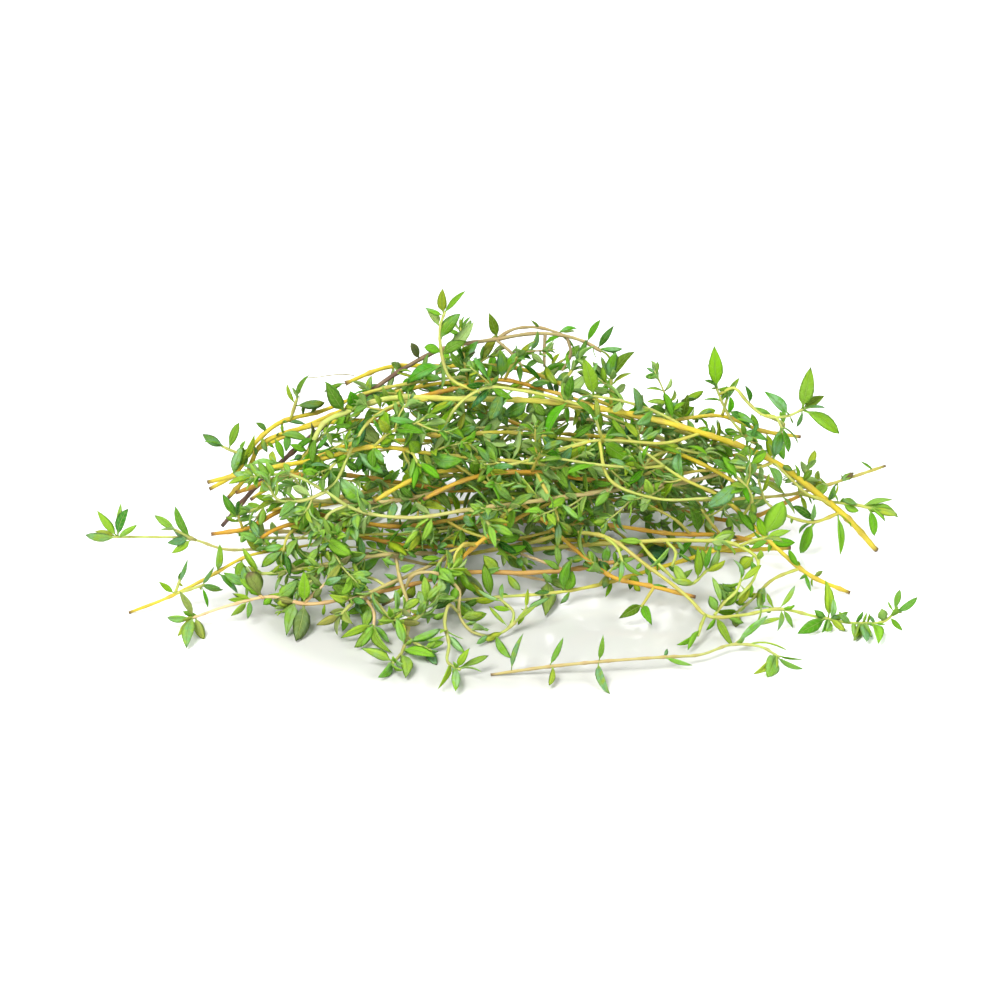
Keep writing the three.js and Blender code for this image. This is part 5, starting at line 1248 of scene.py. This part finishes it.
def viewAxes():
    # the camera's own directions and place, and the distance at which the view is as wide as its numbers
    tilt = math.radians(cameraLook["elevation"])
    sideways = np.array([1.0, 0.0, 0.0])
    above = np.array([0, math.sin(tilt), math.cos(tilt)])
    ahead = np.array([0, math.cos(tilt), -math.sin(tilt)])
    eye = (np.array(cameraLook["target"]) - ahead * cameraLook["distance"]) / millimetre
    return sideways, above, ahead, eye, viewRule["wide"] * cameraLook["distance"] / cameraLook["widthSeen"]


def showsAt(spots):
    # where spots show in the view
    sideways, above, ahead, eye, far = viewAxes()
    away = spots - eye
    flat = np.stack([away @ sideways, -away @ above], axis=1)
    return flat * far / (away @ ahead)[:, None] + viewRule["wide"] / 2


def sightMeets(shown, axis, value):
    # where the line of sight through a place in the view reaches a value along an axis
    sideways, above, ahead, eye, far = viewAxes()
    right, down = np.array(shown) - viewRule["wide"] / 2
    way = ahead * far + sideways * right - above * down
    return eye + way * (value - eye[axis]) / way[axis]


def seenPlaces(sprig, shown, behind):
    # the leaf's tip, and the spot on the sprig's routes that shows nearest to its root
    steps = viewRule["routeSteps"]
    routes = [np.array(route, float) for route in [sprig["stem"], *sprig["shoots"]]]
    spots = np.array([start + (end - start) * (n / steps) for route in routes
                      for start, end in zip(route, route[1:]) for n in range(steps + 1)])
    root = spots[np.argmin(np.linalg.norm(showsAt(spots) - shown[2:], axis=1))]
    tip = sightMeets(shown[:2], 1, roundPlace(root[1] + behind))
    if tip[2] < leafRule["lowestTip"]:
        tip = sightMeets(shown[:2], 2, leafRule["lowestTip"])
    return roundPlace(tip), roundPlace(root)


# smooth stems through the same points
curveRule = {"ringPitch": 1.25, "mainSides": 8, "shootSides": 6, "tinySides": 5}


def smoothStem(stem):
    # rings along a soft curve through the stem's points, each with its place, way, distance and radius
    points = stem["points"]
    last = len(points) - 1
    gaps = [math.dist(points[i], points[i + 1]) for i in range(last)]
    slopes = [(points[i + 1] - points[i]) / gaps[i] for i in range(last)]
    bends = [slopes[0]]
    for i in range(1, last):
        bends.append((slopes[i - 1] * gaps[i] + slopes[i] * gaps[i - 1]) / (gaps[i - 1] + gaps[i]))
    bends.append(slopes[-1])
    places = [0.0]
    for i, gap in enumerate(gaps):
        steps = max(1, round(gap / curveRule["ringPitch"]))
        places += [i + (n + 1) / steps for n in range(steps)]
    rings = []
    for place in places:
        i = min(int(place), last - 1)
        t = place - i
        rings.append(points[i] * (1 + 2 * t) * (1 - t) ** 2 + points[i + 1] * t * t * (3 - 2 * t)
                     + bends[i] * gaps[i] * t * (1 - t) ** 2 - bends[i + 1] * gaps[i] * t * t * (1 - t))
    rings = np.array(rings)
    radii = np.array([radiusAt(stem, place) for place in places])
    rings[:, 2] = np.maximum(rings[:, 2], radii * stemRule["flatSide"])
    ways = np.gradient(rings, axis=0)
    ways /= np.linalg.norm(ways, axis=1)[:, None]
    distances = np.concatenate([[0], np.cumsum(np.linalg.norm(np.diff(rings, axis=0), axis=1))])
    stem["curve"] = {"places": np.array(places), "rings": rings, "ways": ways, "radii": radii,
                     "distances": distances, "length": distances[-1]}
    stem["pairs"] = []  # how far along the pairs of leaves stand


def spotOn(stem, by, value):
    # the curve's spot, way and radius at a place or a distance
    curve = stem["curve"]
    spot, way = [np.array([np.interp(value, curve[by], curve[name][:, k]) for k in range(3)])
                 for name in ("rings", "ways")]
    return {"spot": spot, "way": unit(way), "radius": np.interp(value, curve[by], curve["radii"]),
            "distance": np.interp(value, curve[by], curve["distances"])}


def moveToCurve(leaf):
    # a large leaf keeps its tip, and its root moves on to the smooth stem
    found = spotOn(leaf["stem"], "places", leaf["place"])
    way = leaf["root"] + leaf["along"] * leaf["long"] - found["spot"]
    fitted = settleLeaf(found["spot"], way, leaf["up"], math.sqrt(way @ way))
    leaf["stem"]["pairs"].append(found["distance"])
    return fitted


# finer growth: more pairs along the stems, small leaves in their axils, tufts and short shoots.
# Lengths are in millimetres, turns and openings in radians, and pairs are the ends of a span.
fineRule = {
    "tries": 9, "reach": 0.2, "ownFrom": 0.42, "lowestSpot": 0.35, "slim": (0.26, 0.42), "shrink": 0.03,
    "loose": 0.28, "looser": 0.1, "openingLoose": 0.6, "stemInFace": 0.5, "outInFace": 0.5, "faceChance": 0.8,
    "stemAir": 0.04, "lowest": 2.5, "tipPitch": 4, "pitch": (4.4, 7.8), "leafyPitch": 0.7, "turnLoose": 0.3,
    "agedYouth": 0.5, "clearOfLarge": 3.2, "pairLong": (4.5, 9.2), "pairOpening": (0.6, 1.3),
    "shootChance": 0.72,
    "leafy": (0.8, 1),  # share of the main stem's places, and of the shoots', where something grows
}
axilRule = {
    "counts": (1, 2, 2, 3, 4), "long": (2.2, 5.2), "sway": 0.6, "opening": (0.35, 1.0), "younger": 0.25,
}
tuftRule = {
    "from": 0.25, "backs": (0.2, 1.0, 2.2), "long": (1.8, 4.6), "unlike": (0.8, 1.15),
    "opening": 0.25, "opener": 0.3, "younger": 0.35, "older": 0.08,
}
shortShoot = {
    "tries": 5, "long": (4, 13), "thick": 0.62, "thin": 0.42, "sway": 0.3, "opening": (0.5, 1.0),
    "towardsStem": 0.5, "rise": (-0.2, 0.5), "checked": (0.4, 0.7, 1), "lowest": 0.6, "reach": 0.35,
    "firstBack": 2.6, "lastLeft": 1, "pitch": (2.2, 3.6), "leafOpening": (0.7, 1.15), "leafLong": (3.4, 5.8),
    "younger": 0.15,
}


def anyOf(draw, span):
    return draw.uniform(*span)


def swayed(draw, most):
    # as much to one side as to the other
    return draw.uniform(-most, most)


def levelSide(way):
    # a level direction across a stem
    flat = np.cross(upwards, way)
    return unit(flat if flat @ flat > 1e-4 else np.array([1.0, 0.0, 0.0]))


def fineLeafFits(marks, leaf, owner):
    spots = leafSpots(leaf)
    if spots[:, 2].min() <= fineRule["lowestSpot"]:
        return False
    return marks.areFree(spots, fineRule["reach"], owner, sampleRows[:, 0] > fineRule["ownFrom"])


def growFineLeaf(draw, marks, owner, at, turn, opening, long, youth):
    # tries turns and openings near the wanted ones until the leaf is clear
    way = at["way"]
    side = levelSide(way)
    for attempt in range(fineRule["tries"]):
        loose = fineRule["loose"] + attempt * fineRule["looser"]
        radial = turned(side, way, turn + swayed(draw, loose))
        angle = opening + swayed(draw, loose) * fineRule["openingLoose"]
        along = radial * math.sin(angle) + way * math.cos(angle)
        chance = np.array([draw.gauss(0, 1) for _ in range(3)])
        face = way * fineRule["stemInFace"] + outward(at["spot"]) * fineRule["outInFace"]
        shrunk = long * (1 - fineRule["shrink"] * attempt)
        leaf = settleLeaf(at["spot"], along, face + chance * fineRule["faceChance"], shrunk + at["radius"])
        leaf["wide"] = leaf["long"] * anyOf(draw, fineRule["slim"])
        leaf["youth"] = youth
        if fineLeafFits(marks, leaf, owner):
            markLeaf(marks, leaf, owner, fineRule["reach"])
            return [leaf]
    return []


def growSeenLeaves(marks, stems, owner, sprig):
    # the small leaves that stand out one by one
    leaves = []
    for row in sprig.get("seen", ()):
        shown, (behind, slim, *dead) = row[:4], row[4:]
        tip, start = seenPlaces(sprig, shown, behind)
        nearest = nearestStem(stems, start)
        at = spotOn(nearest["stem"], "places", nearest["i"] + nearest["share"])
        way = tip - at["spot"]
        leaf = settleLeaf(at["spot"], way, outward(tip) + frontLean, math.sqrt(way @ way))
        leaf["wide"] = leaf["long"] * slim
        leaf["dead"] = bool(dead)
        markLeaf(marks, leaf, owner, fineRule["reach"])
        leaves.append(leaf)
    return leaves


def growAxil(draw, marks, owner, at, turn, youth):
    # the small leaves between a leaf and the stem
    leaves = []
    for n in range(draw.choice(axilRule["counts"])):
        sideways = turn + math.pi * (n % 2) + swayed(draw, axilRule["sway"])
        opening = anyOf(draw, axilRule["opening"])
        long = anyOf(draw, axilRule["long"])
        leaves += growFineLeaf(draw, marks, owner, at, sideways, opening, long,
                               min(1, youth + axilRule["younger"]))
    return leaves


def growTuft(draw, marks, owner, stem, youth):
    # at a tip the youngest leaves stand closest together
    leaves = []
    for n, back in enumerate(tuftRule["backs"]):
        at = spotOn(stem, "distances", stem["curve"]["length"] - back)
        long = lerp(*tuftRule["long"], n / 2) * anyOf(draw, tuftRule["unlike"])
        younger = youth + tuftRule["younger"] - n * tuftRule["older"]
        for half in range(2):
            leaves += growFineLeaf(draw, marks, owner, at, math.pi * (n / 2 + half),
                                   tuftRule["opening"] + n * tuftRule["opener"], long, min(1, younger))
    return leaves


def growShortShoot(draw, marks, owner, at, turn, youth):
    # a thin shoot from an axil, with a few pairs of small leaves
    rule = shortShoot
    spot, way = at["spot"], at["way"]
    side = levelSide(way)
    long = anyOf(draw, rule["long"])
    for attempt in range(rule["tries"]):
        radial = turned(side, way, turn + swayed(draw, rule["sway"]) * (attempt + 1))
        opening = anyOf(draw, rule["opening"])
        start = radial * math.sin(opening) + way * math.cos(opening)
        end = unit(start + way * rule["towardsStem"] + upwards * anyOf(draw, rule["rise"]))
        points = [spot, spot + start * long * 0.5, spot + (start + end) * long * 0.5]
        body = np.array([lerp(a, b, share) for a, b in zip(points, points[1:]) for share in rule["checked"]])
        pastRoot = np.arange(len(body)) > 1
        if body[:, 2].min() > rule["lowest"] and marks.areFree(body, rule["reach"], owner, pastRoot):
            break
    else:
        return None, []
    shoot = newStem(points, rule["thick"], rule["thin"], tiny=True)
    smoothStem(shoot)
    markStems(marks, [shoot], owner, fineRule["stemAir"])
    length = shoot["curve"]["length"]
    leaves = []
    back, n = rule["firstBack"], 0
    while back < length - rule["lastLeft"]:
        found = spotOn(shoot, "distances", length - back)
        shoot["pairs"].append(found["distance"])
        for half in range(2):
            opening = anyOf(draw, rule["leafOpening"])
            leafLong = anyOf(draw, rule["leafLong"])
            leaves += growFineLeaf(draw, marks, owner, found, math.pi * (n / 2 + half), opening, leafLong,
                                   min(1, youth + rule["younger"]))
        back += anyOf(draw, rule["pitch"])
        n += 1
    return shoot, leaves + growTuft(draw, marks, owner, shoot, youth)


def growFine(draw, marks, owner, stem, bare, leafy, youth):
    # from the tip down to the bare end: pairs, axils and short shoots
    length = stem["curve"]["length"]
    large = list(stem["pairs"])
    leaves = growTuft(draw, marks, owner, stem, youth) if leafy > tuftRule["from"] else []
    shoots = []
    left = length - fineRule["tipPitch"]
    n = 0
    while left > fineRule["lowest"]:
        here = left
        left -= anyOf(draw, fineRule["pitch"]) * (1 if bare else fineRule["leafyPitch"])
        n += 1
        stem["pairs"].append(here)
        if here < length * bare or draw.random() > leafy:
            continue
        at = spotOn(stem, "distances", here)
        age = 1 - here / length
        young = youth * (1 - fineRule["agedYouth"] * age)
        turn = math.pi / 2 * n + swayed(draw, fineRule["turnLoose"])
        if all(abs(here - other) > fineRule["clearOfLarge"] for other in large):
            for half in range(2):
                opening = anyOf(draw, fineRule["pairOpening"])
                long = anyOf(draw, fineRule["pairLong"])
                leaves += growFineLeaf(draw, marks, owner, at, turn + math.pi * half, opening, long, young)
        leaves += growAxil(draw, marks, owner, at, turn, young)
        if draw.random() < fineRule["shootChance"]:
            eitherSide = turn + math.pi * draw.choice((0, 1))
            shoot, more = growShortShoot(draw, marks, owner, at, eitherSide, young)
            if shoot:
                shoots.append(shoot)
                leaves += more
    return shoots, leaves


# one blade as a closed shell: x from root to tip, y from edge to edge, and z 1 above and -1 below
bladeRule = {
    "large": (7, 4), "small": (4, 2),  # cells along and across
    "smallBelow": 4.2,  # leaves shorter than this have the small one
    "petiole": 0.16, "petioleWide": 0.17, "petioleThick": 0.2, "petioleEnd": 1.6, "nearHalf": 0.5,
    "thick": 0.1, "edgeThinner": 0.5, "rib": 0.05, "twistFrom": 0.25, "lowest": 0.05, "lowestAbove": 0.1,
}


def meshFrom(bm, name):
    mesh = bpy.data.meshes.new(name)
    bm.to_mesh(mesh)
    bm.free()
    return mesh


def makeBladeMesh(cells):
    bm = bmesh.new()
    bmesh.ops.create_grid(bm, x_segments=cells[0], y_segments=cells[1], size=1)
    copied = bmesh.ops.duplicate(bm, geom=bm.verts[:] + bm.edges[:] + bm.faces[:])["geom"]
    below = [part for part in copied if isinstance(part, bmesh.types.BMFace)]
    belowVerts = {vert for face in below for vert in face.verts}
    almost = 0.999
    for vert in bm.verts:
        inside = max(abs(vert.co.x), abs(vert.co.y)) < almost
        vert.co.z = (-1 if vert in belowVerts else 1) if inside else 0
    bmesh.ops.reverse_faces(bm, faces=below)
    bmesh.ops.remove_doubles(bm, verts=bm.verts[:], dist=1e-4)
    bmesh.ops.pointmerge(bm, verts=[vert for vert in bm.verts if vert.co.x > almost], merge_co=(1, 0, 0))
    return meshFrom(bm, "blade")


def column(leaves, key):
    return np.array([leaf[key] for leaf in leaves], float).reshape(len(leaves), 1, -1)


def placeBlades(corners, leaves):
    # where every corner of the blade comes on each leaf, in millimetres
    s = ((corners[:, 0] + 1) / 2)[None, :, None]
    v = corners[None, :, 1, None]
    w = corners[None, :, 2, None]
    t = np.clip((s - bladeRule["petiole"]) / (1 - bladeRule["petiole"]), 0, 1)
    near, far = column(leaves, "nearEnd"), column(leaves, "farEnd")
    outline = t ** near * (1 - t) ** far * (near + far) ** (near + far) / near ** near / far ** far
    long, wide = column(leaves, "long"), column(leaves, "wide")
    half = np.maximum(outline, bladeRule["petioleWide"] * (s < bladeRule["nearHalf"])) * wide / 2
    past = np.minimum(outline * bladeRule["petioleEnd"], 1)
    thick = lerp(bladeRule["petioleThick"], bladeRule["thick"], past) * (1 - bladeRule["edgeThinner"] * v * v)
    rib = (v == 0) * bladeRule["rib"] * (1 - s) * (w < 0)
    fold, roll = column(leaves, "fold"), column(leaves, "roll")
    lift = column(leaves, "arch") * long * 4 * s * (1 - s) - column(leaves, "droop") * long * s * s
    height = lift + half * (fold * np.abs(v) - roll * v ** 4) + w * (thick + rib)
    lean = column(leaves, "twist") * (s - bladeRule["twistFrom"])
    across, up = column(leaves, "across"), column(leaves, "up")
    sideways = half * v * np.cos(lean) + column(leaves, "bend") * long * 4 * s * (1 - s)
    height = height + half * v * np.sin(lean)
    spots = column(leaves, "root") + column(leaves, "along") * s * long + across * sideways + up * height
    lowest = bladeRule["lowest"] + bladeRule["lowestAbove"] * (w[..., 0] + 1)
    spots[..., 2] = np.maximum(spots[..., 2], lowest)
    return spots.reshape(-1, 3)


def makeLeaves(name, leaves, bladeMeshes, material):
    bm = bmesh.new()
    places, blades, natures = [], [], []
    for bladeMesh, isSmall in zip(bladeMeshes, (False, True)):
        group = [leaf for leaf in leaves if (leaf["long"] < bladeRule["smallBelow"]) == isSmall]
        if not group:
            continue
        for _ in group:
            bm.from_mesh(bladeMesh)
        corners = np.array([vert.co for vert in bladeMesh.vertices])
        places.append(placeBlades(corners, group))
        blades.append(np.tile(corners * (0.5, 1, 1) + (0.5, 0, 0), (len(group), 1)))
        natures.append(np.repeat([[leaf[key] for key in natureKeys] for leaf in group], len(corners), axis=0))
    mesh = meshFrom(bm, name)
    writeAttribute(mesh, "blade", np.concatenate(blades))
    writeAttribute(mesh, "nature", np.concatenate(natures)[:, :3])
    writeAttribute(mesh, "wear", np.concatenate(natures)[:, 3:])
    mesh.vertices.foreach_set("co", (np.concatenate(places) * millimetre).astype(np.float32).ravel())
    return finishPiece(name, mesh, material)


def writeAttribute(mesh, name, values):
    attribute = mesh.attributes.new(name, "FLOAT_VECTOR", "POINT")
    attribute.data.foreach_set("vector", np.asarray(values, np.float32).ravel())


def finishPiece(name, mesh, material):
    mesh.polygons.foreach_set("use_smooth", [len(face.vertices) < 5 for face in mesh.polygons])
    mesh.materials.append(material)
    mesh.update()
    piece = bpy.data.objects.new(name, mesh)
    bpy.context.scene.collection.objects.link(piece)
    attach(piece, "root")
    return piece


# stems: a grid rolled round the curve, closed at both ends
stemShape = {
    "slender": (0.75, 0.85, 0.77), "slenderFor": (0.35, 0.55, 0.7),  # width shown, by radius in millimetres
    "square": 0.06, "swelling": 0.3, "swellingLong": 0.7,
    "wobble": 0.05, "wobbleAlong": 1.7, "wobbleAround": 2,
    "cutLong": 1.6, "cutShare": 0.84, "cutReach": 14, "shootYouth": 0.7, "lowest": 0.02,
    "farOff": -99,  # where a stem with no pairs has one
}


def rollStem(bm, layers, stem, sides, stout):
    curve = stem["curve"]
    rings, ways, radii, distances = (curve[key] for key in ("rings", "ways", "radii", "distances"))
    last = len(rings) - 1
    side = levelSide(ways[0])
    frames = []
    for way in ways:
        side = unit(side - way * (side @ way))
        frames.append((side, np.cross(way, side)))
    pairs = np.array(stem["pairs"] or [stemShape["farOff"]])
    toPair = np.min(np.abs(distances[:, None] - pairs[None, :]), axis=1)
    atPair = np.exp(-(toPair / stemShape["swellingLong"]) ** 2)
    slender = np.interp(radii, stemShape["slenderFor"], stemShape["slender"]) * stout
    if stem["tie"] is None and not stem.get("tiny"):
        atCut = np.clip(1 - distances / stemShape["cutLong"], 0, 1)
        slender = slender * np.interp(distances, (0, stemShape["cutReach"]), (stemShape["cutShare"], 1))
        young = 0
    else:
        atCut = np.full(last + 1, stem.get("dry", 0.0))
        young = stemShape["shootYouth"]
    grid = bmesh.ops.create_grid(bm, x_segments=last, y_segments=sides, size=1)
    for vert in grid["verts"]:
        n = round((vert.co.x + 1) / 2 * last)
        angle = math.pi * (vert.co.y + 1)
        square = 1 + stemShape["square"] * math.cos(4 * angle)
        turns = distances[n] * stemShape["wobbleAlong"] + angle * stemShape["wobbleAround"]
        wobble = 1 + stemShape["wobble"] * math.sin(turns)
        radius = radii[n] * (slender[n] + stemShape["swelling"] * atPair[n]) * square * wobble
        side, up = frames[n]
        place = rings[n] + (side * math.cos(angle) + up * math.sin(angle)) * radius
        place[2] = max(place[2], stemShape["lowest"])
        vert.co = place * millimetre
        vert[layers["around"]] = (math.cos(angle), math.sin(angle), distances[n])
        vert[layers["growth"]] = (lerp(young, 1, distances[n] / curve["length"]), atPair[n], atCut[n])


def makeStems(name, stems, material, stout):
    bm = bmesh.new()
    layers = {key: bm.verts.layers.float_vector.new(key) for key in ("around", "growth")}
    for k, stem in enumerate(stems):
        sides = curveRule["tinySides" if stem.get("tiny") else "shootSides" if k else "mainSides"]
        rollStem(bm, layers, stem, sides, 1 if k else stout)
    bmesh.ops.remove_doubles(bm, verts=bm.verts[:], dist=1e-6)
    openEnds = [edge for edge in bm.edges if edge.is_boundary]
    bmesh.ops.holes_fill(bm, edges=openEnds, sides=curveRule["mainSides"])
    bmesh.ops.recalc_face_normals(bm, faces=bm.faces[:])
    return finishPiece(name + "_stems", meshFrom(bm, name + "_stems"), material)


# each leaf's own tone, wear and bends
natureKeys = ("tone", "youth", "bloom", "spoiled", "yellow", "purple")
natureRule = {
    "seed": 41, "sprigTone": (0.2, 0.65), "tone": 0.5, "youth": 0.14, "seenYouth": (0, 0.5),
    # bloom is how much pale film a leaf has, partly its own bloom and partly a painted sheen
    "bloom": (0.22, 0.62), "yellow": (0.1, 0.5),  # middle and spread
    "largeYouth": (0.2, 1), "largeSlim": (0.7, 1.06),  # shares of the sprig's youth and of the usual width
    "bareYouth": {"straw": 0.2, "brown": 0.12, "dark": 0.02, "olive": 0.38, "pale": 0.55, "rosy": 0.4},
    "youngBarks": ("pale", "olive", "rosy"),  # their sprigs' leaves take the young look
    "spoiled": 0.02, "spoiledShares": (0.4, 0.7, 1, 1.6), "deadShare": 2.6, "purpleShare": (0.2, 0.55),
    "arch": (0.3, 1.5), "droop": (-0.05, 0.25), "fold": (0.1, 1.1), "roll": (0.1, 0.9),
    "twist": 0.9, "twistLong": 9, "bend": 0.07, "nearEnd": (0.48, 0.78), "farEnd": (0.7, 1.1),
}


def giveNature(draw, sprig, leaf, sprigTone):
    rule = natureRule
    leaf.setdefault("youth", anyOf(draw, rule["seenYouth"]))
    leaf["tone"] = clamped(sprigTone + draw.gauss(0, rule["tone"]))
    leaf["youth"] = clamped(leaf["youth"] + draw.gauss(0, rule["youth"]))
    leaf["bloom"] = clamped(draw.gauss(*rule["bloom"]))
    leaf["spoiled"] = draw.choice(rule["spoiledShares"]) if draw.random() < rule["spoiled"] else 0
    if "narrow" in sprig:
        leaf["spoiled"] = 0
    if leaf.get("dead"):
        leaf["spoiled"] = rule["deadShare"]
    leaf["yellow"] = clamped(draw.gauss(*rule["yellow"]))
    leaf["purple"] = anyOf(draw, rule["purpleShare"]) if draw.random() < sprig.get("purple", 0) else 0
    leaf["arch"] *= anyOf(draw, rule["arch"])
    for key in ("droop", "fold", "roll"):
        leaf[key] = anyOf(draw, rule[key])
    leaf["twist"] = swayed(draw, rule["twist"]) * min(leaf["long"] / rule["twistLong"], 1)
    leaf["bend"] = swayed(draw, rule["bend"])
    for key in ("nearEnd", "farEnd"):
        leaf[key] = anyOf(draw, rule[key])


# a dry, hair-thin tendril at a cut end
thread = {
    "sprig": "top_back_straw", "thick": 0.34, "thin": 0.2, "dry": 0.6,
    "route": [(-33, 25, 40), (-35.5, 24.5, 40.5), (-38, 24, 40.5), (-41, 24, 40), (-44.5, 23.5, 39.5),
              (-45, 23, 37.5), (-45.5, 22.5, 34)],
}


def dryThread():
    stem = newStem(thread["route"], thread["thick"], thread["thin"], tiny=True, dry=thread["dry"])
    smoothStem(stem)
    return stem


def growHeap(names):
    # every sprig's smooth stems and large leaves, with the spots that they mark
    allStems = [plantStems(sprigs[name]) for name in names]
    spreadStems(allStems)
    print("stems spread apart")
    allLarge = growLargeLeaves(names, allStems)
    print("large leaves:", sum(len(leaves) for leaves in allLarge))
    marks = Marks()
    for owner, stems in enumerate(allStems):
        for stem in stems:
            smoothStem(stem)
        markStems(marks, stems, owner, fineRule["stemAir"])
    allLarge = [[moveToCurve(leaf) for leaf in leaves] for leaves in allLarge]
    for owner, leaves in enumerate(allLarge):
        for leaf in leaves:
            markLeaf(marks, leaf, owner, fineRule["reach"])
    return allStems, allLarge, marks


def dressSprig(owner, name, marks, ownStems, leaves):
    # the sprig's large leaves get their looks, then the small ones and the short shoots grow
    sprig = sprigs[name]
    draw = random.Random(natureRule["seed"] + owner)
    youth = natureRule["bareYouth"][sprig["bark"]]
    sprigTone = anyOf(draw, natureRule["sprigTone"])
    for leaf in leaves:
        leaf["youth"] = youth * anyOf(draw, natureRule["largeYouth"])
        leaf["wide"] *= anyOf(draw, natureRule["largeSlim"]) * sprig.get("narrow", 1)
    leaves += growSeenLeaves(marks, ownStems, owner, sprig)
    stems = list(ownStems)
    if name == thread["sprig"]:
        stems.append(dryThread())
    onMain, onShoots = sprig.get("leafy", fineRule["leafy"])
    for k, stem in enumerate(ownStems):
        bare, leafy = (0, onShoots) if k else (sprig["bare"], onMain)
        shoots, more = growFine(draw, marks, owner, stem, bare, leafy, youth)
        stems += shoots
        leaves += more
    for leaf in leaves:
        giveNature(draw, sprig, leaf, sprigTone)
    return stems


def makeHeap():
    names = list(sprigs)
    allStems, allLeaves, marks = growHeap(names)
    bladeMeshes = [makeBladeMesh(bladeRule[size]) for size in ("large", "small")]
    leafMaterials = {name: makeLeafMaterial(name) for name in leafLooks}
    barkMaterials = {name: makeBarkMaterial(name) for name in barkLooks}
    for owner, name in enumerate(names):
        bark, stout = sprigs[name]["bark"], sprigs[name].get("stout", 1)
        leaves = allLeaves[owner]
        stems = dressSprig(owner, name, marks, allStems[owner], leaves)
        slot = "young_leaf" if bark in natureRule["youngBarks"] else "leaf"
        leafPiece = makeLeaves(name + "_leaves", leaves, bladeMeshes, leafMaterials[slot])
        stemPiece = makeStems(name, stems, barkMaterials[bark], stout)
        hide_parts(name)
        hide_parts(name)
    for bladeMesh in bladeMeshes:
        bpy.data.meshes.remove(bladeMesh)
    triangles = sum(len(face.vertices) - 2 for mesh in bpy.data.meshes for face in mesh.polygons)
    print("leaves in all:", sum(len(leaves) for leaves in allLeaves), "triangles:", triangles)


# white further out, with painted shade: a painted shadow greyer close round the heap, and under it a lighter
# painted grey that stands for the shade there and the glossy floor's painted reflection. Each ring's middle
# and reach are in metres
floorLook = {
    "size": 4, "roughness": 0.14, "specular": 0.5, "under": (0.66, 0.66, 0.65),
    "rings": [
        # painted shadow: the grey ring close round the heap
        {"colour": (0.51, 0.51, 0.485), "middle": (0.01, 0.02), "reach": (0.085, 0.045), "edge": (0.6, 1)},
        # white further out, the plain floor
        {"colour": (0.96, 0.96, 0.96), "middle": (0, -0.01), "reach": (0.08, 0.06), "edge": (0.62, 0.95)},
    ],
}


def makeFloorMaterial():
    material, tree = newMaterial("floor")
    place = objectPlace(tree)
    # painted shade and painted reflection under the heap, then the painted shadow ring round it, then plain
    # white
    colour = floorLook["under"]
    for ring in floorLook["rings"]:
        across, along = ring["reach"]
        offset = [-m / r for m, r in zip(ring["middle"], ring["reach"])]
        scaled = addNode(tree, "ShaderNodeVectorMath", {"operation": "MULTIPLY_ADD"},
                         {0: place, 1: (1 / across, 1 / along, 0), 2: (*offset, 0)})
        away = addNode(tree, "ShaderNodeVectorMath", {"operation": "LENGTH"}, {0: scaled}, "Value")
        colour = mixColours(tree, rise(tree, away, *ring["edge"]), colour, ring["colour"])
    finishSurface(tree, colour, floorLook["roughness"], floorLook["specular"])
    return material


def makeFloor():
    bm = bmesh.new()
    bmesh.ops.create_grid(bm, x_segments=1, y_segments=1, size=floorLook["size"])
    mesh = meshFrom(bm, "floor")
    mesh.materials.append(makeFloorMaterial())
    floor = bpy.data.objects.new("floor", mesh)
    bpy.context.scene.collection.objects.link(floor)


makeCamera()
makeLights()
makeFloor()
print("camera, lights and floor in place")
makeHeap()
